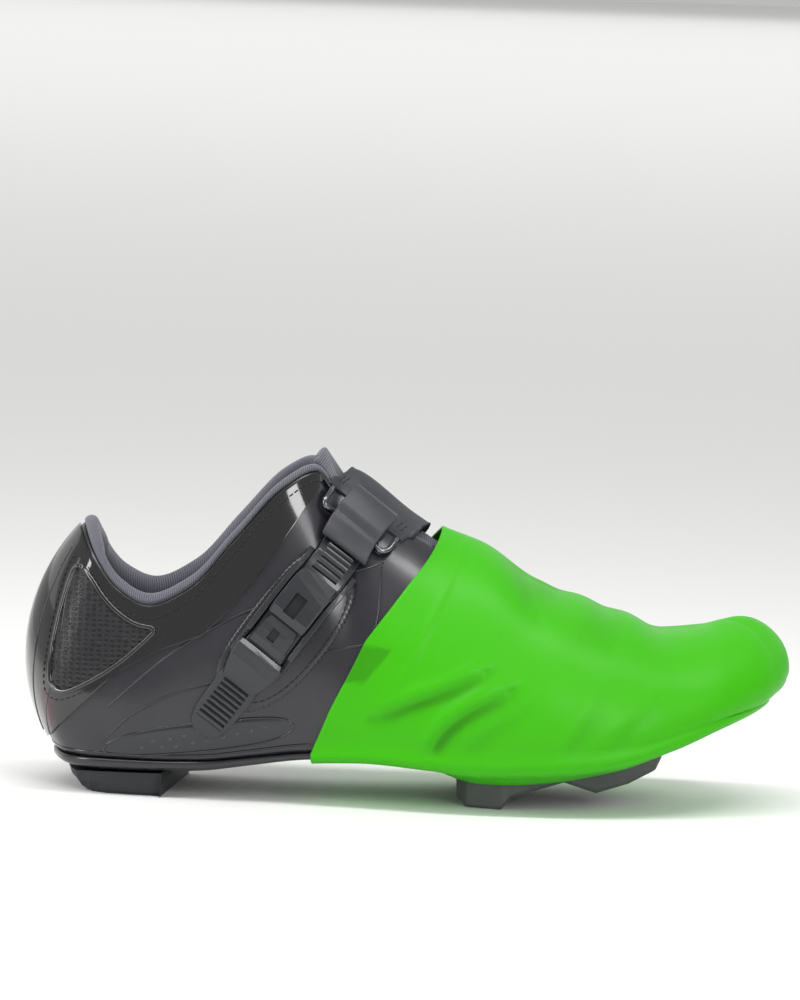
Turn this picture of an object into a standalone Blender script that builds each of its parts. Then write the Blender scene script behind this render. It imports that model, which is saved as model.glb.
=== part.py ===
"""Latex toe cover on a road cycling shoe, right foot.

Metres, +Z up. The toe points along +X and the outer (lateral) side along -Y. The origin is on the
floor, under the middle of the shoe. The shoe stands on its heel pad and its cleat.
"""

import math

import bmesh
import bpy
import numpy as np
from mathutils import Vector
from mathutils.bvhtree import BVHTree

MM = 0.001

# Driving sizes of the lasted shoe
LAST_LENGTH = 283.5 * MM
BALL_WIDTH = 98.0 * MM
INSTEP_HEIGHT = 121.0 * MM
UPPER_WALL = 2.0 * MM
FIT_GAP = 0.35 * MM
# Facets of one curved piece dip this far towards its neighbour between the lines they share
SAG = 0.2 * MM

# Throat, tongue and collar
THROAT_WIDTH = 24.0 * MM
TONGUE_THICKNESS = 2.6 * MM
TONGUE_RISE = 12.0 * MM
TONGUE_LEAN = 9.0 * MM
TONGUE_TOP_WIDTH = 22.0 * MM
COLLAR_PAD = 5.5 * MM
COLLAR_ROLL = 4.2 * MM
COLLAR_DEPTH = 26.0 * MM

# Overlays on the upper
COUNTER_THICKNESS = 1.0 * MM
MESH_THICKNESS = 0.6 * MM
PATCH_THICKNESS = 1.0 * MM

# Latex cover
LATEX = 0.8 * MM
COVER_RINGS = 19
COVER_LIFT = 1.0 * MM
CLEAT_HOLE_MARGIN = 3.0 * MM

# Under the foot
INSOLE_THICKNESS = 3.0 * MM
INSOLE_MARGIN = 1.2 * MM
SOLE_ROUND = 6.0 * MM
HEEL_PAD_INSET = 3.0 * MM
HEEL_PAD_CROWN = 13.0 * MM
HEEL_PAD_BEVEL = 9.0 * MM
HEEL_PAD_FRONT_OUTER = 52.0 * MM
HEEL_PAD_FRONT_INNER = 60.0 * MM
CLEAT_START = 161.0 * MM
CLEAT_LENGTH = 76.0 * MM
CLEAT_WIDTH = 63.0 * MM
BOLT_SPREAD = 9.0 * MM
BOLT_HEAD = 10.0 * MM
BOLT_HEAD_HEIGHT = 2.4 * MM

# Strap and buckle. Down is measured along the strap from its crossing of the instep's ridge, across
# from its middle line, and height from the surface of the last.
STRAP_WIDTH = 36.0 * MM
STRAP_THICKNESS = 2.4 * MM
STRAP_SLOPE = 54.0
STRAP_CROSSING = 0.471 * LAST_LENGTH
STRAP_CROSSING_HEIGHT = 0.917 * INSTEP_HEIGHT
STRAP_END = 10.0 * MM
STRAP_ANCHOR_ANGLE = 140.0
RING_WIRE = 2.4 * MM
RING_END = 17.5 * MM
STRAP_DRIFT = -6.0 * MM
RATCHET_WIDTH = 16.0 * MM
RATCHET_MIDDLE = -4.4 * MM
RATCHET_THICKNESS = 1.8 * MM
BASE_FLOOR = 1.0 * MM
RAIL = 2.2 * MM
RAIL_CLEARANCE = 0.5 * MM
LINK_WIDTH = 20.0 * MM
CATCH_WIDTH = 20.0 * MM
LAY_STEP = 3.5 * MM
PATCH_LIFT = FIT_GAP + SAG + 0.05 * MM
STRAP_LIFT = FIT_GAP + SAG + 0.3 * MM

# The last, one row for each section from the heel to the toe. Columns ending in _x are shares of the
# last's length, those ending in _z and plate shares of the instep height, the others of the ball width.
#   foot_x, outer, inner, foot_z   the feather line, where upper and sole meet
#   plate                          thickness of the sole under it
#   top_x, swing, top_half, top_z  the topline: the collar's edge, or the ridge where top_half is 0
#   belly, flare                   how far the wall swells out near the sole and near the topline
#   rise, drop                     shares of the wall's height where those two swellings act
#   cuts                           into how many parts the step to the next row is cut
LAST_COLUMNS = (
    "foot_x", "outer", "inner", "foot_z", "plate", "top_x", "swing", "top_half", "top_z",
    "belly", "flare", "rise", "drop", "cuts",
)
LAST_ROWS = (
    (0.039, 0.000, 0.000, 0.116, 0.052, 0.067, 0.000, 0.000, 0.806, 0.190, 0.222, 0.29, 0.28, 3),
    (0.055, 0.215, 0.210, 0.116, 0.052, 0.083, 0.000, 0.165, 0.730, 0.155, 0.150, 0.30, 0.30, 3),
    (0.098, 0.303, 0.295, 0.116, 0.052, 0.116, 0.000, 0.250, 0.632, 0.085, 0.075, 0.33, 0.34, 2),
    (0.162, 0.330, 0.318, 0.116, 0.050, 0.159, 0.000, 0.296, 0.586, 0.055, 0.045, 0.35, 0.35, 2),
    (0.229, 0.338, 0.318, 0.120, 0.046, 0.212, 0.000, 0.312, 0.645, 0.045, 0.050, 0.35, 0.36, 2),
    (0.300, 0.350, 0.302, 0.140, 0.040, 0.270, 0.000, 0.302, 0.802, 0.042, 0.065, 0.35, 0.36, 2),
    (0.360, 0.368, 0.290, 0.160, 0.036, 0.328, 0.000, 0.262, 0.955, 0.040, 0.100, 0.35, 0.34, 2),
    (0.409, 0.392, 0.290, 0.169, 0.034, 0.370, 0.000, 0.185, 1.006, 0.040, 0.150, 0.35, 0.25, 3),
    (0.459, 0.420, 0.305, 0.175, 0.036, 0.413, 0.000, 0.000, 1.003, 0.040, 0.265, 0.35, 0.12, 2),
    (0.529, 0.458, 0.352, 0.173, 0.046, 0.500, 0.000, 0.000, 0.868, 0.038, 0.285, 0.36, 0.10, 2),
    (0.600, 0.478, 0.415, 0.175, 0.070, 0.582, 0.002, 0.000, 0.750, 0.036, 0.300, 0.38, 0.06, 2),
    (0.688, 0.478, 0.462, 0.184, 0.068, 0.670, 0.010, 0.000, 0.662, 0.034, 0.315, 0.40, 0.02, 2),
    (0.769, 0.446, 0.466, 0.200, 0.056, 0.758, 0.030, 0.000, 0.584, 0.034, 0.310, 0.40, 0.00, 2),
    (0.847, 0.374, 0.440, 0.249, 0.042, 0.829, 0.050, 0.000, 0.521, 0.042, 0.270, 0.36, -0.10, 3),
    (0.910, 0.262, 0.376, 0.304, 0.036, 0.875, 0.068, 0.000, 0.530, 0.080, 0.220, 0.30, -0.18, 3),
    (0.953, 0.105, 0.268, 0.335, 0.034, 0.903, 0.080, 0.000, 0.550, 0.140, 0.195, 0.24, -0.22, 3),
    (0.969, -0.085, 0.085, 0.342, 0.034, 0.917, 0.085, 0.000, 0.559, 0.170, 0.190, 0.20, -0.25, 0),
)
COLLAR_FRONT_ROW = 7
THROAT_TOP_ROW = 8
VAMP_ROW = 11
TOE_ROW = len(LAST_ROWS) - 1

# Edge of the sole plate: how far out of the feather line, and how deep as a share of the plate
SOLE_EDGE_COLUMNS = ("out", "depth")
SOLE_EDGE_ROWS = (
    (0.6 * MM, 0.00),
    (0.9 * MM, 0.30),
    (-0.9 * MM, 0.56),
    (-SOLE_ROUND, 0.72),
)

# What lies under the latex lifts it: place along the ridge as a share of the length, height, half
# length, and the share of the wall's height down to which it fades
LIFT_COLUMNS = ("along", "height", "half", "fade")
LIFT_ROWS = (
    (0.586, 4.0 * MM, 22.0 * MM, 0.34),
    (0.723, 0.7 * MM, 9.0 * MM, 0.48),
    (0.784, 1.4 * MM, 10.0 * MM, 0.50),
)

# Cleat sections: share of its length, half width, and height of the pads and of the middle above the
# floor as shares of the distance up to the sole's underside at its rear
CLEAT_COLUMNS = ("along", "half", "pad", "middle")
CLEAT_ROWS = (
    (0.00, 0.72, 0.30, 0.45),
    (0.05, 0.88, 0.00, 0.40),
    (0.22, 1.00, 0.00, 0.40),
    (0.26, 1.00, 0.34, 0.52),
    (0.52, 0.86, 0.80, 0.92),
    (0.68, 0.70, 0.46, 0.80),
    (0.84, 0.56, 0.72, 1.05),
    (0.97, 0.44, 1.10, 1.30),
    (1.00, 0.36, 1.45, 1.50),
)

# Rear edge of the cover in the side view, as shares of the length and of the instep height
COVER_EDGE_COLUMNS = ("along", "high")
COVER_EDGE_ROWS = ((0.366, 0.000), (0.373, 0.132), (0.401, 0.295), (0.444, 0.507), (0.486, 0.661), (0.545, 0.855))

# Outlines drawn in the side view, as shares of the last's length and of the instep height. The
# counter runs along the collar, round the heel and down to the sole.
COUNTER_OUTLINE = (
    (0.376, 1.060), (0.374, 0.960), (0.345, 0.850), (0.300, 0.690), (0.265, 0.585), (0.232, 0.505),
    (0.178, 0.455), (0.118, 0.375), (0.048, 0.205), (0.030, 0.145), (-0.060, 0.145), (-0.060, 1.060),
)
MESH_OUTLINE = (
    (0.066, 0.690), (0.079, 0.668), (0.104, 0.585), (0.140, 0.525), (0.170, 0.518), (0.168, 0.500),
    (0.120, 0.395), (0.066, 0.318), (0.046, 0.310), (0.034, 0.345), (0.041, 0.500), (0.056, 0.655),
)

# Outline of the sewn patch: down the strap, and across it
PATCH_OUTLINE = (
    (30.0 * MM, -12.0 * MM), (36.0 * MM, -16.5 * MM), (60.0 * MM, -17.5 * MM), (84.0 * MM, -16.5 * MM),
    (93.0 * MM, -10.0 * MM), (95.0 * MM, 0.0 * MM), (90.0 * MM, 8.0 * MM), (76.0 * MM, 13.0 * MM),
    (56.0 * MM, 14.0 * MM), (38.0 * MM, 12.0 * MM), (30.0 * MM, 7.5 * MM),
)

# Parts of the buckle along the strap, each with how far down it is and its width as a share. Heights
# of link, lever, pawl and catch are above what they lie over, and a rail's is above the base's floor.
# The ratchet strap rises from the upper, 0, to the floor of the base, 1.
SLAB_COLUMNS = ("down", "low", "high", "share")
LINK_ROWS = (
    (7.0 * MM, 0.0 * MM, 1.2 * MM, 0.94),
    (9.0 * MM, 0.0 * MM, 1.8 * MM, 1.00),
    (15.0 * MM, 0.0 * MM, 1.9 * MM, 1.00),
    (22.0 * MM, 0.0 * MM, 2.0 * MM, 1.00),
    (25.5 * MM, 0.1 * MM, 1.7 * MM, 1.00),
    (26.5 * MM, 0.1 * MM, 1.1 * MM, 0.96),
)
RATCHET_COLUMNS = ("down", "rise", "share")
RATCHET_ROWS = (
    (24.5 * MM, -0.30, 1.00),
    (28.0 * MM, 0.20, 1.00),
    (31.5 * MM, 1.00, 1.00),
    (77.0 * MM, 1.00, 1.00),
    (84.0 * MM, 0.50, 1.00),
    (94.5 * MM, 0.00, 0.98),
    (101.5 * MM, -0.25, 0.94),
    (105.0 * MM, -0.35, 0.82),
    (108.5 * MM, -0.45, 0.46),
)
RAIL_COLUMNS = ("down", "top")
RAIL_ROWS = (
    (31.5 * MM, 0.5 * MM),
    (35.0 * MM, 2.3 * MM),
    (38.5 * MM, 3.9 * MM),
    (45.5 * MM, 4.7 * MM),
    (59.5 * MM, 4.7 * MM),
    (66.5 * MM, 4.3 * MM),
    (70.0 * MM, 1.7 * MM),
    (77.0 * MM, 0.5 * MM),
)
LEVER_ROWS = (
    (38.5 * MM, 0.1 * MM, 1.2 * MM, 0.95),
    (42.0 * MM, 0.1 * MM, 3.0 * MM, 1.00),
    (49.0 * MM, 0.1 * MM, 3.7 * MM, 1.00),
    (54.0 * MM, 0.1 * MM, 3.8 * MM, 1.00),
    (57.0 * MM, 0.1 * MM, 2.6 * MM, 0.97),
)
PAWL_ROWS = (
    (57.8 * MM, 0.0 * MM, 1.4 * MM, 0.80),
    (60.0 * MM, 0.0 * MM, 2.0 * MM, 0.84),
    (66.5 * MM, 0.0 * MM, 1.6 * MM, 0.90),
    (69.2 * MM, 0.0 * MM, 1.1 * MM, 0.90),
)
CATCH_ROWS = (
    (70.4 * MM, 0.1 * MM, 1.8 * MM, 0.96),
    (72.0 * MM, 0.1 * MM, 3.4 * MM, 1.00),
    (77.0 * MM, 0.1 * MM, 3.2 * MM, 0.98),
    (82.0 * MM, 0.0 * MM, 2.0 * MM, 0.84),
    (85.0 * MM, -0.3 * MM, 0.9 * MM, 0.74),
)
WINDOW_COLUMNS = ("start", "end", "left", "right")
WINDOWS = {
    "lever_window": (46.5 * MM, 54.5 * MM, -7.6 * MM, -2.6 * MM),
    "pawl_window": (61.0 * MM, 65.5 * MM, -6.6 * MM, -3.4 * MM),
}

FINISHES = {
    "patent": ((0.012, 0.013, 0.016), 0.16, 0.0),
    "microfibre": ((0.030, 0.031, 0.037), 0.34, 0.0),
    "knit": ((0.120, 0.122, 0.140), 0.90, 0.0),
    "mesh": ((0.016, 0.016, 0.018), 0.75, 0.0),
    "strap": ((0.048, 0.049, 0.058), 0.55, 0.0),
    "buckle_plastic": ((0.030, 0.032, 0.036), 0.38, 0.0),
    "ring_metal": ((0.320, 0.330, 0.350), 0.22, 1.0),
    "sole_composite": ((0.022, 0.022, 0.027), 0.30, 0.0),
    "heel_rubber": ((0.018, 0.018, 0.022), 0.62, 0.0),
    "cleat_plastic": ((0.055, 0.055, 0.058), 0.50, 0.0),
    "bolt_steel": ((0.350, 0.350, 0.360), 0.35, 1.0),
    "insole_fabric": ((0.030, 0.030, 0.034), 0.90, 0.0),
    "latex": ((0.045, 0.560, 0.003), 0.42, 0.0),
}


def clear_scene():
    for thing in list(bpy.data.objects):
        bpy.data.objects.remove(thing)


def collection(name):
    made = bpy.data.collections.new(name)
    bpy.context.scene.collection.children.link(made)
    return made


def finish(name):
    """The Principled material of that name, made once."""
    if name in bpy.data.materials:
        return bpy.data.materials[name]
    colour, roughness, metallic = FINISHES[name]
    made = bpy.data.materials.new(name)
    made.use_nodes = True
    shader = made.node_tree.nodes["Principled BSDF"]
    shader.inputs["Base Color"].default_value = (*colour, 1.0)
    shader.inputs["Roughness"].default_value = roughness
    shader.inputs["Metallic"].default_value = metallic
    return made


def add_piece(name, mesh, material):
    piece = bpy.data.objects.new(name, mesh)
    piece.data.materials.append(finish(material))
    shoe.objects.link(piece)
    return piece


def add_cutter(name, mesh):
    cutter = bpy.data.objects.new(name, mesh)
    cutter.hide_render = True
    cutter.display_type = "WIRE"
    cutters.objects.link(cutter)
    return cutter


def mesh_from(name, points, faces, smooth=True, recalculate=True):
    """A mesh with its doubled points made one and its faces turned outwards."""
    mesh = bpy.data.meshes.new(name)
    mesh.from_pydata([tuple(float(c) for c in p) for p in points], [], [tuple(f) for f in faces])
    work = bmesh.new()
    work.from_mesh(mesh)
    bmesh.ops.remove_doubles(work, verts=work.verts, dist=0.01 * MM)
    bmesh.ops.dissolve_degenerate(work, edges=work.edges, dist=0.005 * MM)
    if recalculate:
        bmesh.ops.recalc_face_normals(work, faces=work.faces)
    work.to_mesh(mesh)
    work.free()
    if smooth:
        mesh.shade_smooth()
        mesh.set_sharp_from_angle(angle=math.radians(40))
    return mesh


def column(columns, rows, name):
    return np.array([row[columns.index(name)] for row in rows], float)


def smooth_curve(knots, values, at):
    """A smooth curve through the knots that never swings past them."""
    step = np.diff(knots)
    slope = np.diff(values) / step
    tangent = np.zeros(len(values))
    before, after = slope[:-1], slope[1:]
    turning = before * after <= 0
    safe_before = np.where(turning, 1.0, before)
    safe_after = np.where(turning, 1.0, after)
    near, far = 2 * step[1:] + step[:-1], step[1:] + 2 * step[:-1]
    tangent[1:-1] = np.where(turning, 0.0, (near + far) / (near / safe_before + far / safe_after))
    at = np.asarray(at, float)
    k = np.clip(np.searchsorted(knots, at, side="right") - 1, 0, len(step) - 1)
    t = (at - knots[k]) / step[k]
    return (
        values[k] * (1 + 2 * t) * (1 - t) ** 2
        + values[k + 1] * t * t * (3 - 2 * t)
        + step[k] * tangent[k] * t * (1 - t) ** 2
        - step[k] * tangent[k + 1] * t * t * (1 - t)
    )


def last_column(name):
    return column(LAST_COLUMNS, LAST_ROWS, name)


def row_stations():
    """Station of each row: its share of the way along the feather line, 0 at the heel and 1 at the toe."""
    x = last_column("foot_x") * LAST_LENGTH
    y = (last_column("outer") + last_column("inner")) / 2 * BALL_WIDTH
    steps = np.hypot(np.diff(x), np.diff(y))
    return np.concatenate([[0.0], np.cumsum(steps)]) / steps.sum()


STATIONS = row_stations()


def round_the_shoe(outer, inner):
    """A column as values along signed stations: outer side negative, heel 0, inner side positive, and
    two rows past the toe at each end, where the other side begins."""
    loop = np.concatenate([outer[::-1], inner[1:]])
    return np.concatenate([inner[-3:-1], loop, outer[-2:-4:-1]])


KNOTS = np.concatenate(
    [STATIONS[-3:-1] - 2, -STATIONS[::-1], STATIONS[1:], 2 - STATIONS[-2:-4:-1]]
)


def ribs(station):
    """For each signed station, the four control points of the wall's curve from feather line to topline."""
    station = np.asarray(station, float)

    def even(name):
        return smooth_curve(KNOTS, round_the_shoe(last_column(name), last_column(name)), station)

    def plan_of(at):
        x = smooth_curve(KNOTS, round_the_shoe(last_column("foot_x"), last_column("foot_x")), at)
        y = smooth_curve(KNOTS, round_the_shoe(-last_column("outer"), last_column("inner")), at)
        return x * LAST_LENGTH, y * BALL_WIDTH

    foot_x, foot_y = plan_of(station)
    small = 1e-3
    ahead, behind = plan_of(station + small), plan_of(station - small)
    out_x, out_y = behind[1] - ahead[1], ahead[0] - behind[0]
    length = np.hypot(out_x, out_y)
    outward = np.stack([out_x / length, out_y / length, np.zeros_like(length)], -1)
    half = last_column("top_half")
    top_y = smooth_curve(
        KNOTS,
        round_the_shoe(last_column("swing") - half, last_column("swing") + half),
        station,
    )
    foot = np.stack([foot_x, foot_y, even("foot_z") * INSTEP_HEIGHT], -1)
    top = np.stack([even("top_x") * LAST_LENGTH, top_y * BALL_WIDTH, even("top_z") * INSTEP_HEIGHT], -1)
    height = (top - foot)[..., 2:3]
    up = np.array([0.0, 0.0, 1.0])
    low = foot + outward * even("belly")[..., None] * BALL_WIDTH + up * even("rise")[..., None] * height
    high = top + outward * even("flare")[..., None] * BALL_WIDTH - up * even("drop")[..., None] * height
    return foot, low, high, top, outward


def bezier(controls, v):
    a, b, c, d = controls
    v = v[..., None]
    return a * (1 - v) ** 3 + 3 * b * v * (1 - v) ** 2 + 3 * c * v * v * (1 - v) + d * v**3


def centre_shift():
    """Moves the last so that its length and its widest points lie evenly about the origin."""
    station, v = np.meshgrid(np.linspace(-1, 1, 241), np.linspace(0, 0.8, 17))
    foot, low, high, top, _ = ribs(station)
    y = bezier((foot, low, high, top), v)[..., 1]
    return np.array([-LAST_LENGTH / 2, -(y.min() + y.max()) / 2, 0.0])


SHIFT = centre_shift()


def last_points(station, v, proud=0.0):
    """Points of the lasted form at signed stations and heights v, 0 at the sole and 1 at the topline,
    moved out along the surface's normal by proud."""
    station, v = np.broadcast_arrays(np.asarray(station, float), np.asarray(v, float))

    def at(s, t):
        return bezier(ribs(s)[:4], t)

    place = at(station, v) + SHIFT
    if np.all(np.asarray(proud) == 0):
        return place
    inside = np.clip(v, 0.01, 0.985)
    small = 2e-3
    along = at(station + small, inside) - at(station - small, inside)
    up = at(station, inside + 0.01) - at(station, inside - 0.01)
    normal = np.cross(up, along)
    normal /= np.linalg.norm(normal, axis=-1, keepdims=True)
    return place + normal * np.broadcast_to(proud, v.shape)[..., None]


def subdivided(values, times):
    """The values with each step between them cut into so many equal parts."""
    values = np.asarray(values, float)
    parts = [np.linspace(a, b, times, endpoint=False) for a, b in zip(values[:-1], values[1:])]
    return np.concatenate([*parts, values[-1:]])


def stations_between(first, last, side=0):
    """Stations of those rows with the cuts between them. Side -1 is the outer side, 1 the inner side, and
    0 runs from the last row on the outer side round the heel to the last row on the inner side."""
    parts = [
        np.linspace(STATIONS[k], STATIONS[k + 1], LAST_ROWS[k][-1], endpoint=False) for k in range(first, last)
    ]
    one = np.concatenate([*parts, [STATIONS[last]]])
    if side:
        return np.sort(one * side)
    return np.concatenate([-one[:0:-1], one])


UPPER_LEVELS = np.linspace(0, 1, 9)


def ease(t):
    t = np.clip(t, 0.0, 1.0)
    return t * t * (3 - 2 * t)


def throat_edge(station):
    """Height v at which the upper's edge runs: 1 on the collar and the closed vamp, less beside the throat."""
    s = np.abs(station)
    opened = ease((s - STATIONS[COLLAR_FRONT_ROW]) / (STATIONS[THROAT_TOP_ROW] - STATIONS[COLLAR_FRONT_ROW]))
    closing = ease((STATIONS[VAMP_ROW] - s) / (STATIONS[VAMP_ROW] - STATIONS[VAMP_ROW - 1]))
    flare = smooth_curve(KNOTS, round_the_shoe(last_column("flare"), last_column("flare")), station)
    return 1 - THROAT_WIDTH / 2 * opened * closing / (3 * flare * BALL_WIDTH)


def closed_grid(points, is_joined):
    """Shares the points of a grid that runs right round the shoe from toe to toe: its two ends, and the
    top of each outer rib with that of its inner twin where is_joined says so. Returns points and faces."""
    around, high = points.shape[:2]
    number = np.arange(around * high).reshape(around, high)
    flat = points.reshape(-1, 3).copy()

    def share(a, b):
        flat[number[a]] = flat[number[b]] = (flat[number[a]] + flat[number[b]]) / 2
        number[b] = number[a]

    for j in range(high):
        share((0, j), (around - 1, j))
    for i in range(1, around // 2):
        if is_joined[i]:
            share((i, high - 1), (around - 1 - i, high - 1))
    faces = []
    for i in range(around - 1):
        for j in range(high - 1):
            ring = [number[i, j], number[i, j + 1], number[i + 1, j + 1], number[i + 1, j]]
            faces.append(list(dict.fromkeys(int(k) for k in ring)))
    return flat, [f for f in faces if len(f) > 2]


def used_only(points, faces):
    """Leaves out the points that no face uses."""
    used = sorted({k for f in faces for k in f})
    place = {k: n for n, k in enumerate(used)}
    return [points[k] for k in used], [[place[k] for k in f] for f in faces]


def solidify(piece, thickness, outwards, even=True):
    wall = piece.modifiers.new("wall", "SOLIDIFY")
    wall.thickness = thickness
    wall.offset = 1.0 if outwards else -1.0
    wall.use_even_offset = even
    return wall


def boolean(piece, cutter, operation):
    cut = piece.modifiers.new(cutter.name, "BOOLEAN")
    cut.object = cutter
    cut.operation = operation
    return cut


def patch_mesh(name, stations, heights, proud):
    """Open surface over a range of stations and heights, facing out."""
    points = last_points(stations[:, None], heights[None, :] * throat_edge(stations)[:, None], proud)
    return grid_mesh(name, points)


def grid_mesh(name, points):
    """Open surface through a grid of points. Its face runs along the first index, then down the second."""
    rows, across = points.shape[:2]
    faces = [
        (i * across + j, i * across + j + 1, (i + 1) * across + j + 1, (i + 1) * across + j)
        for i in range(rows - 1)
        for j in range(across - 1)
    ]
    return mesh_from(name, points.reshape(-1, 3), faces, recalculate=False)


def loft(name, rings, smooth=True):
    """Closed solid through rings of points, with a flat face at each end."""
    rings = np.asarray(rings)
    count, size = rings.shape[:2]
    faces = [
        (i * size + j, i * size + (j + 1) % size, (i + 1) * size + (j + 1) % size, (i + 1) * size + j)
        for i in range(count - 1)
        for j in range(size)
    ]
    faces.append(tuple(range(size)))
    faces.append(tuple((count - 1) * size + j for j in reversed(range(size))))
    return mesh_from(name, rings.reshape(-1, 3), faces, smooth)


def prism(name, outline, low, high, depth_axis="y"):
    """Closed solid over an outline in the XZ plane (or XY, when it is deep along z)."""
    bottom = [((x, low, z) if depth_axis == "y" else (x, z, low)) for x, z in outline]
    top = [((x, high, z) if depth_axis == "y" else (x, z, high)) for x, z in outline]
    size = len(outline)
    faces = [tuple(range(size)), tuple(range(2 * size - 1, size - 1, -1))]
    faces += [(j, (j + 1) % size, size + (j + 1) % size, size + j) for j in range(size)]
    return mesh_from(name, bottom + top, faces, smooth=False)


def rounded_outline(points, rounds=2):
    """Cuts an outline's corners twice over, so that it bends smoothly."""
    points = [np.array(p, float) for p in points]
    for _ in range(rounds):
        pairs = zip(points, points[1:] + points[:1])
        points = [q for a, b in pairs for q in (0.75 * a + 0.25 * b, 0.25 * a + 0.75 * b)]
    return [tuple(p) for p in points]


def side_outline(shares):
    """An outline given in shares of the side view, in metres."""
    return [(x * LAST_LENGTH + SHIFT[0], z * INSTEP_HEIGHT) for x, z in shares]


def shrunk(outline, gap):
    """The outline moved in by gap, straight in from each of its corners."""
    points = [np.array(p, float) for p in outline]
    turn = sum(a[0] * b[1] - b[0] * a[1] for a, b in zip(points, points[1:] + points[:1]))
    side = 1 if turn > 0 else -1
    moved = []
    for k, point in enumerate(points):
        along = points[(k + 1) % len(points)] - points[k - 1]
        inward = np.array([-along[1], along[0]]) * side / np.linalg.norm(along)
        moved.append(tuple(point + inward * gap))
    return moved


def make_upper():
    """The upper: one wall right round the heel and over the toe, open below, at the collar and throat."""
    stations = stations_between(0, TOE_ROW)
    edge = throat_edge(stations)
    points = last_points(stations[:, None], UPPER_LEVELS[None, :] * edge[:, None])
    half = len(stations) // 2
    joined = [abs(stations[i]) >= STATIONS[VAMP_ROW] - 1e-9 for i in range(half)]
    flat, faces = closed_grid(points, joined + [False])
    mesh = mesh_from("upper", *used_only(flat, faces), recalculate=False)
    upper = add_piece("upper", mesh, "microfibre")
    solidify(upper, UPPER_WALL, outwards=False)
    return upper


def collar_frame(station, edge_level):
    """Edge point of the collar, the wall's upward direction there, and its outward normal."""
    edge = last_points(station, edge_level)
    up = edge - last_points(station, edge_level - 0.04)
    up /= np.linalg.norm(up, axis=-1, keepdims=True)
    out = last_points(station, edge_level - 0.02, 1 * MM) - last_points(station, edge_level - 0.02)
    out -= up * (out * up).sum(-1, keepdims=True)
    out /= np.linalg.norm(out, axis=-1, keepdims=True)
    return edge, up, out


def make_collar_lining():
    """Knit lining of the collar: a padded band that follows the wall inside and rolls over its edge."""
    reach = (STATIONS[COLLAR_FRONT_ROW] + STATIONS[THROAT_TOP_ROW]) / 2 + 1e-6
    every = stations_between(0, THROAT_TOP_ROW)
    rings = []
    for s in every[np.abs(every) <= reach]:
        level = float(throat_edge(s))
        edge, up, out = collar_frame(s, level)
        foot, _, _, top, _ = ribs(s)
        height = np.linalg.norm(top - foot)
        thin = ease((abs(s) / reach - 0.55) / 0.45)
        pad = COLLAR_PAD * (1 - 0.72 * thin)
        roll = COLLAR_ROLL * (1 - 0.25 * thin)
        depth = COLLAR_DEPTH * (1 - 0.50 * thin)
        wall = UPPER_WALL + FIT_GAP + SAG

        def over(outward, upward):
            return edge + out * outward + up * upward

        def within(deep, below):
            return last_points(s, level - below / height, -deep)

        rings.append([
            over(0.0, FIT_GAP + SAG),
            over(0.2 * MM, 0.50 * roll),
            over(-0.35 * wall, 0.88 * roll),
            over(-0.90 * wall, roll),
            over(-wall - 0.50 * pad, 0.80 * roll),
            over(-wall - 0.90 * pad, 0.15 * roll),
            within(wall + pad, 0.28 * depth),
            within(wall + 0.75 * pad, 0.64 * depth),
            within(wall + 0.8 * MM, depth),
            within(wall, depth),
            within(wall, 0.5 * depth),
            over(-wall, FIT_GAP + SAG),
        ])
    return add_piece("collar_lining", loft("collar_lining", rings), "knit")


def make_tongue():
    """The tongue: an arched sheet under the throat that stands up in front of the ankle."""
    along = stations_between(THROAT_TOP_ROW, VAMP_ROW, side=1)[::-1]
    to_top = (STATIONS[VAMP_ROW] - along) / (STATIONS[VAMP_ROW] - STATIONS[THROAT_TOP_ROW])
    deep = -(UPPER_WALL + FIT_GAP + SAG + 2.0 * MM * to_top**2)

    def half(side):
        edge = throat_edge(side * along)
        shrink = 1 - 0.95 * to_top**2
        narrow = 0.25 * to_top**3 * (1 - edge)
        under_wall = (1 - (1 - UPPER_LEVELS[-3:, None]) * shrink) * edge + narrow
        levels = [*under_wall, (1 + edge + narrow) / 2, np.ones_like(edge)]
        return last_points((side * along)[:, None], np.array(levels).T, deep[:, None])

    outer, inner = half(-1), half(1)
    ridge = (outer[:, -1:] + inner[:, -1:]) / 2
    arch = np.concatenate([outer[:, :-1], ridge, inner[:, -2::-1]], axis=1)
    throat_top = arch[-1]
    across = np.linspace(-1, 1, len(throat_top))
    top_edge = np.stack([
        throat_top[len(across) // 2, 0] - TONGUE_LEAN - 3 * MM * across**2,
        across * TONGUE_TOP_WIDTH / 2,
        throat_top[len(across) // 2, 2] + TONGUE_RISE - 4 * MM * across**2,
    ], axis=1)
    rings = list(arch)
    for step in (0.3, 0.6, 0.85, 1.0):
        ring = throat_top + (top_edge - throat_top) * step
        ring[:, 1] = throat_top[:, 1] + (top_edge[:, 1] - throat_top[:, 1]) * ease(step * 3)
        rings.append(ring)
    tongue = add_piece("tongue", grid_mesh("tongue", np.array(rings)), "knit")
    solidify(tongue, TONGUE_THICKNESS, outwards=False)
    return tongue


def foot_edges(station, out, z_of_x):
    """Points beside the feather line, out of it in plan, with their height worked out from their x."""
    foot, _, _, _, outward = ribs(station)
    place = foot + outward * out + SHIFT
    place[..., 2] = z_of_x(place[..., 0])
    return place


SIDE_STATIONS = np.linspace(0, 1, 201)
FEATHER_X = ribs(SIDE_STATIONS)[0][:, 0] + SHIFT[0]
FEATHER_Z = ribs(SIDE_STATIONS)[0][:, 2]
PLATE = smooth_curve(
    KNOTS, round_the_shoe(last_column("plate"), last_column("plate")), SIDE_STATIONS
) * INSTEP_HEIGHT


def sole_height(x, depth, gap=FIT_GAP):
    """Height of the sole at that x: depth 0 is its top, depth 1 its underside."""
    x = np.asarray(x, float)
    return np.interp(x, FEATHER_X, FEATHER_Z) - gap - depth * np.interp(x, FEATHER_X, PLATE)


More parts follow.
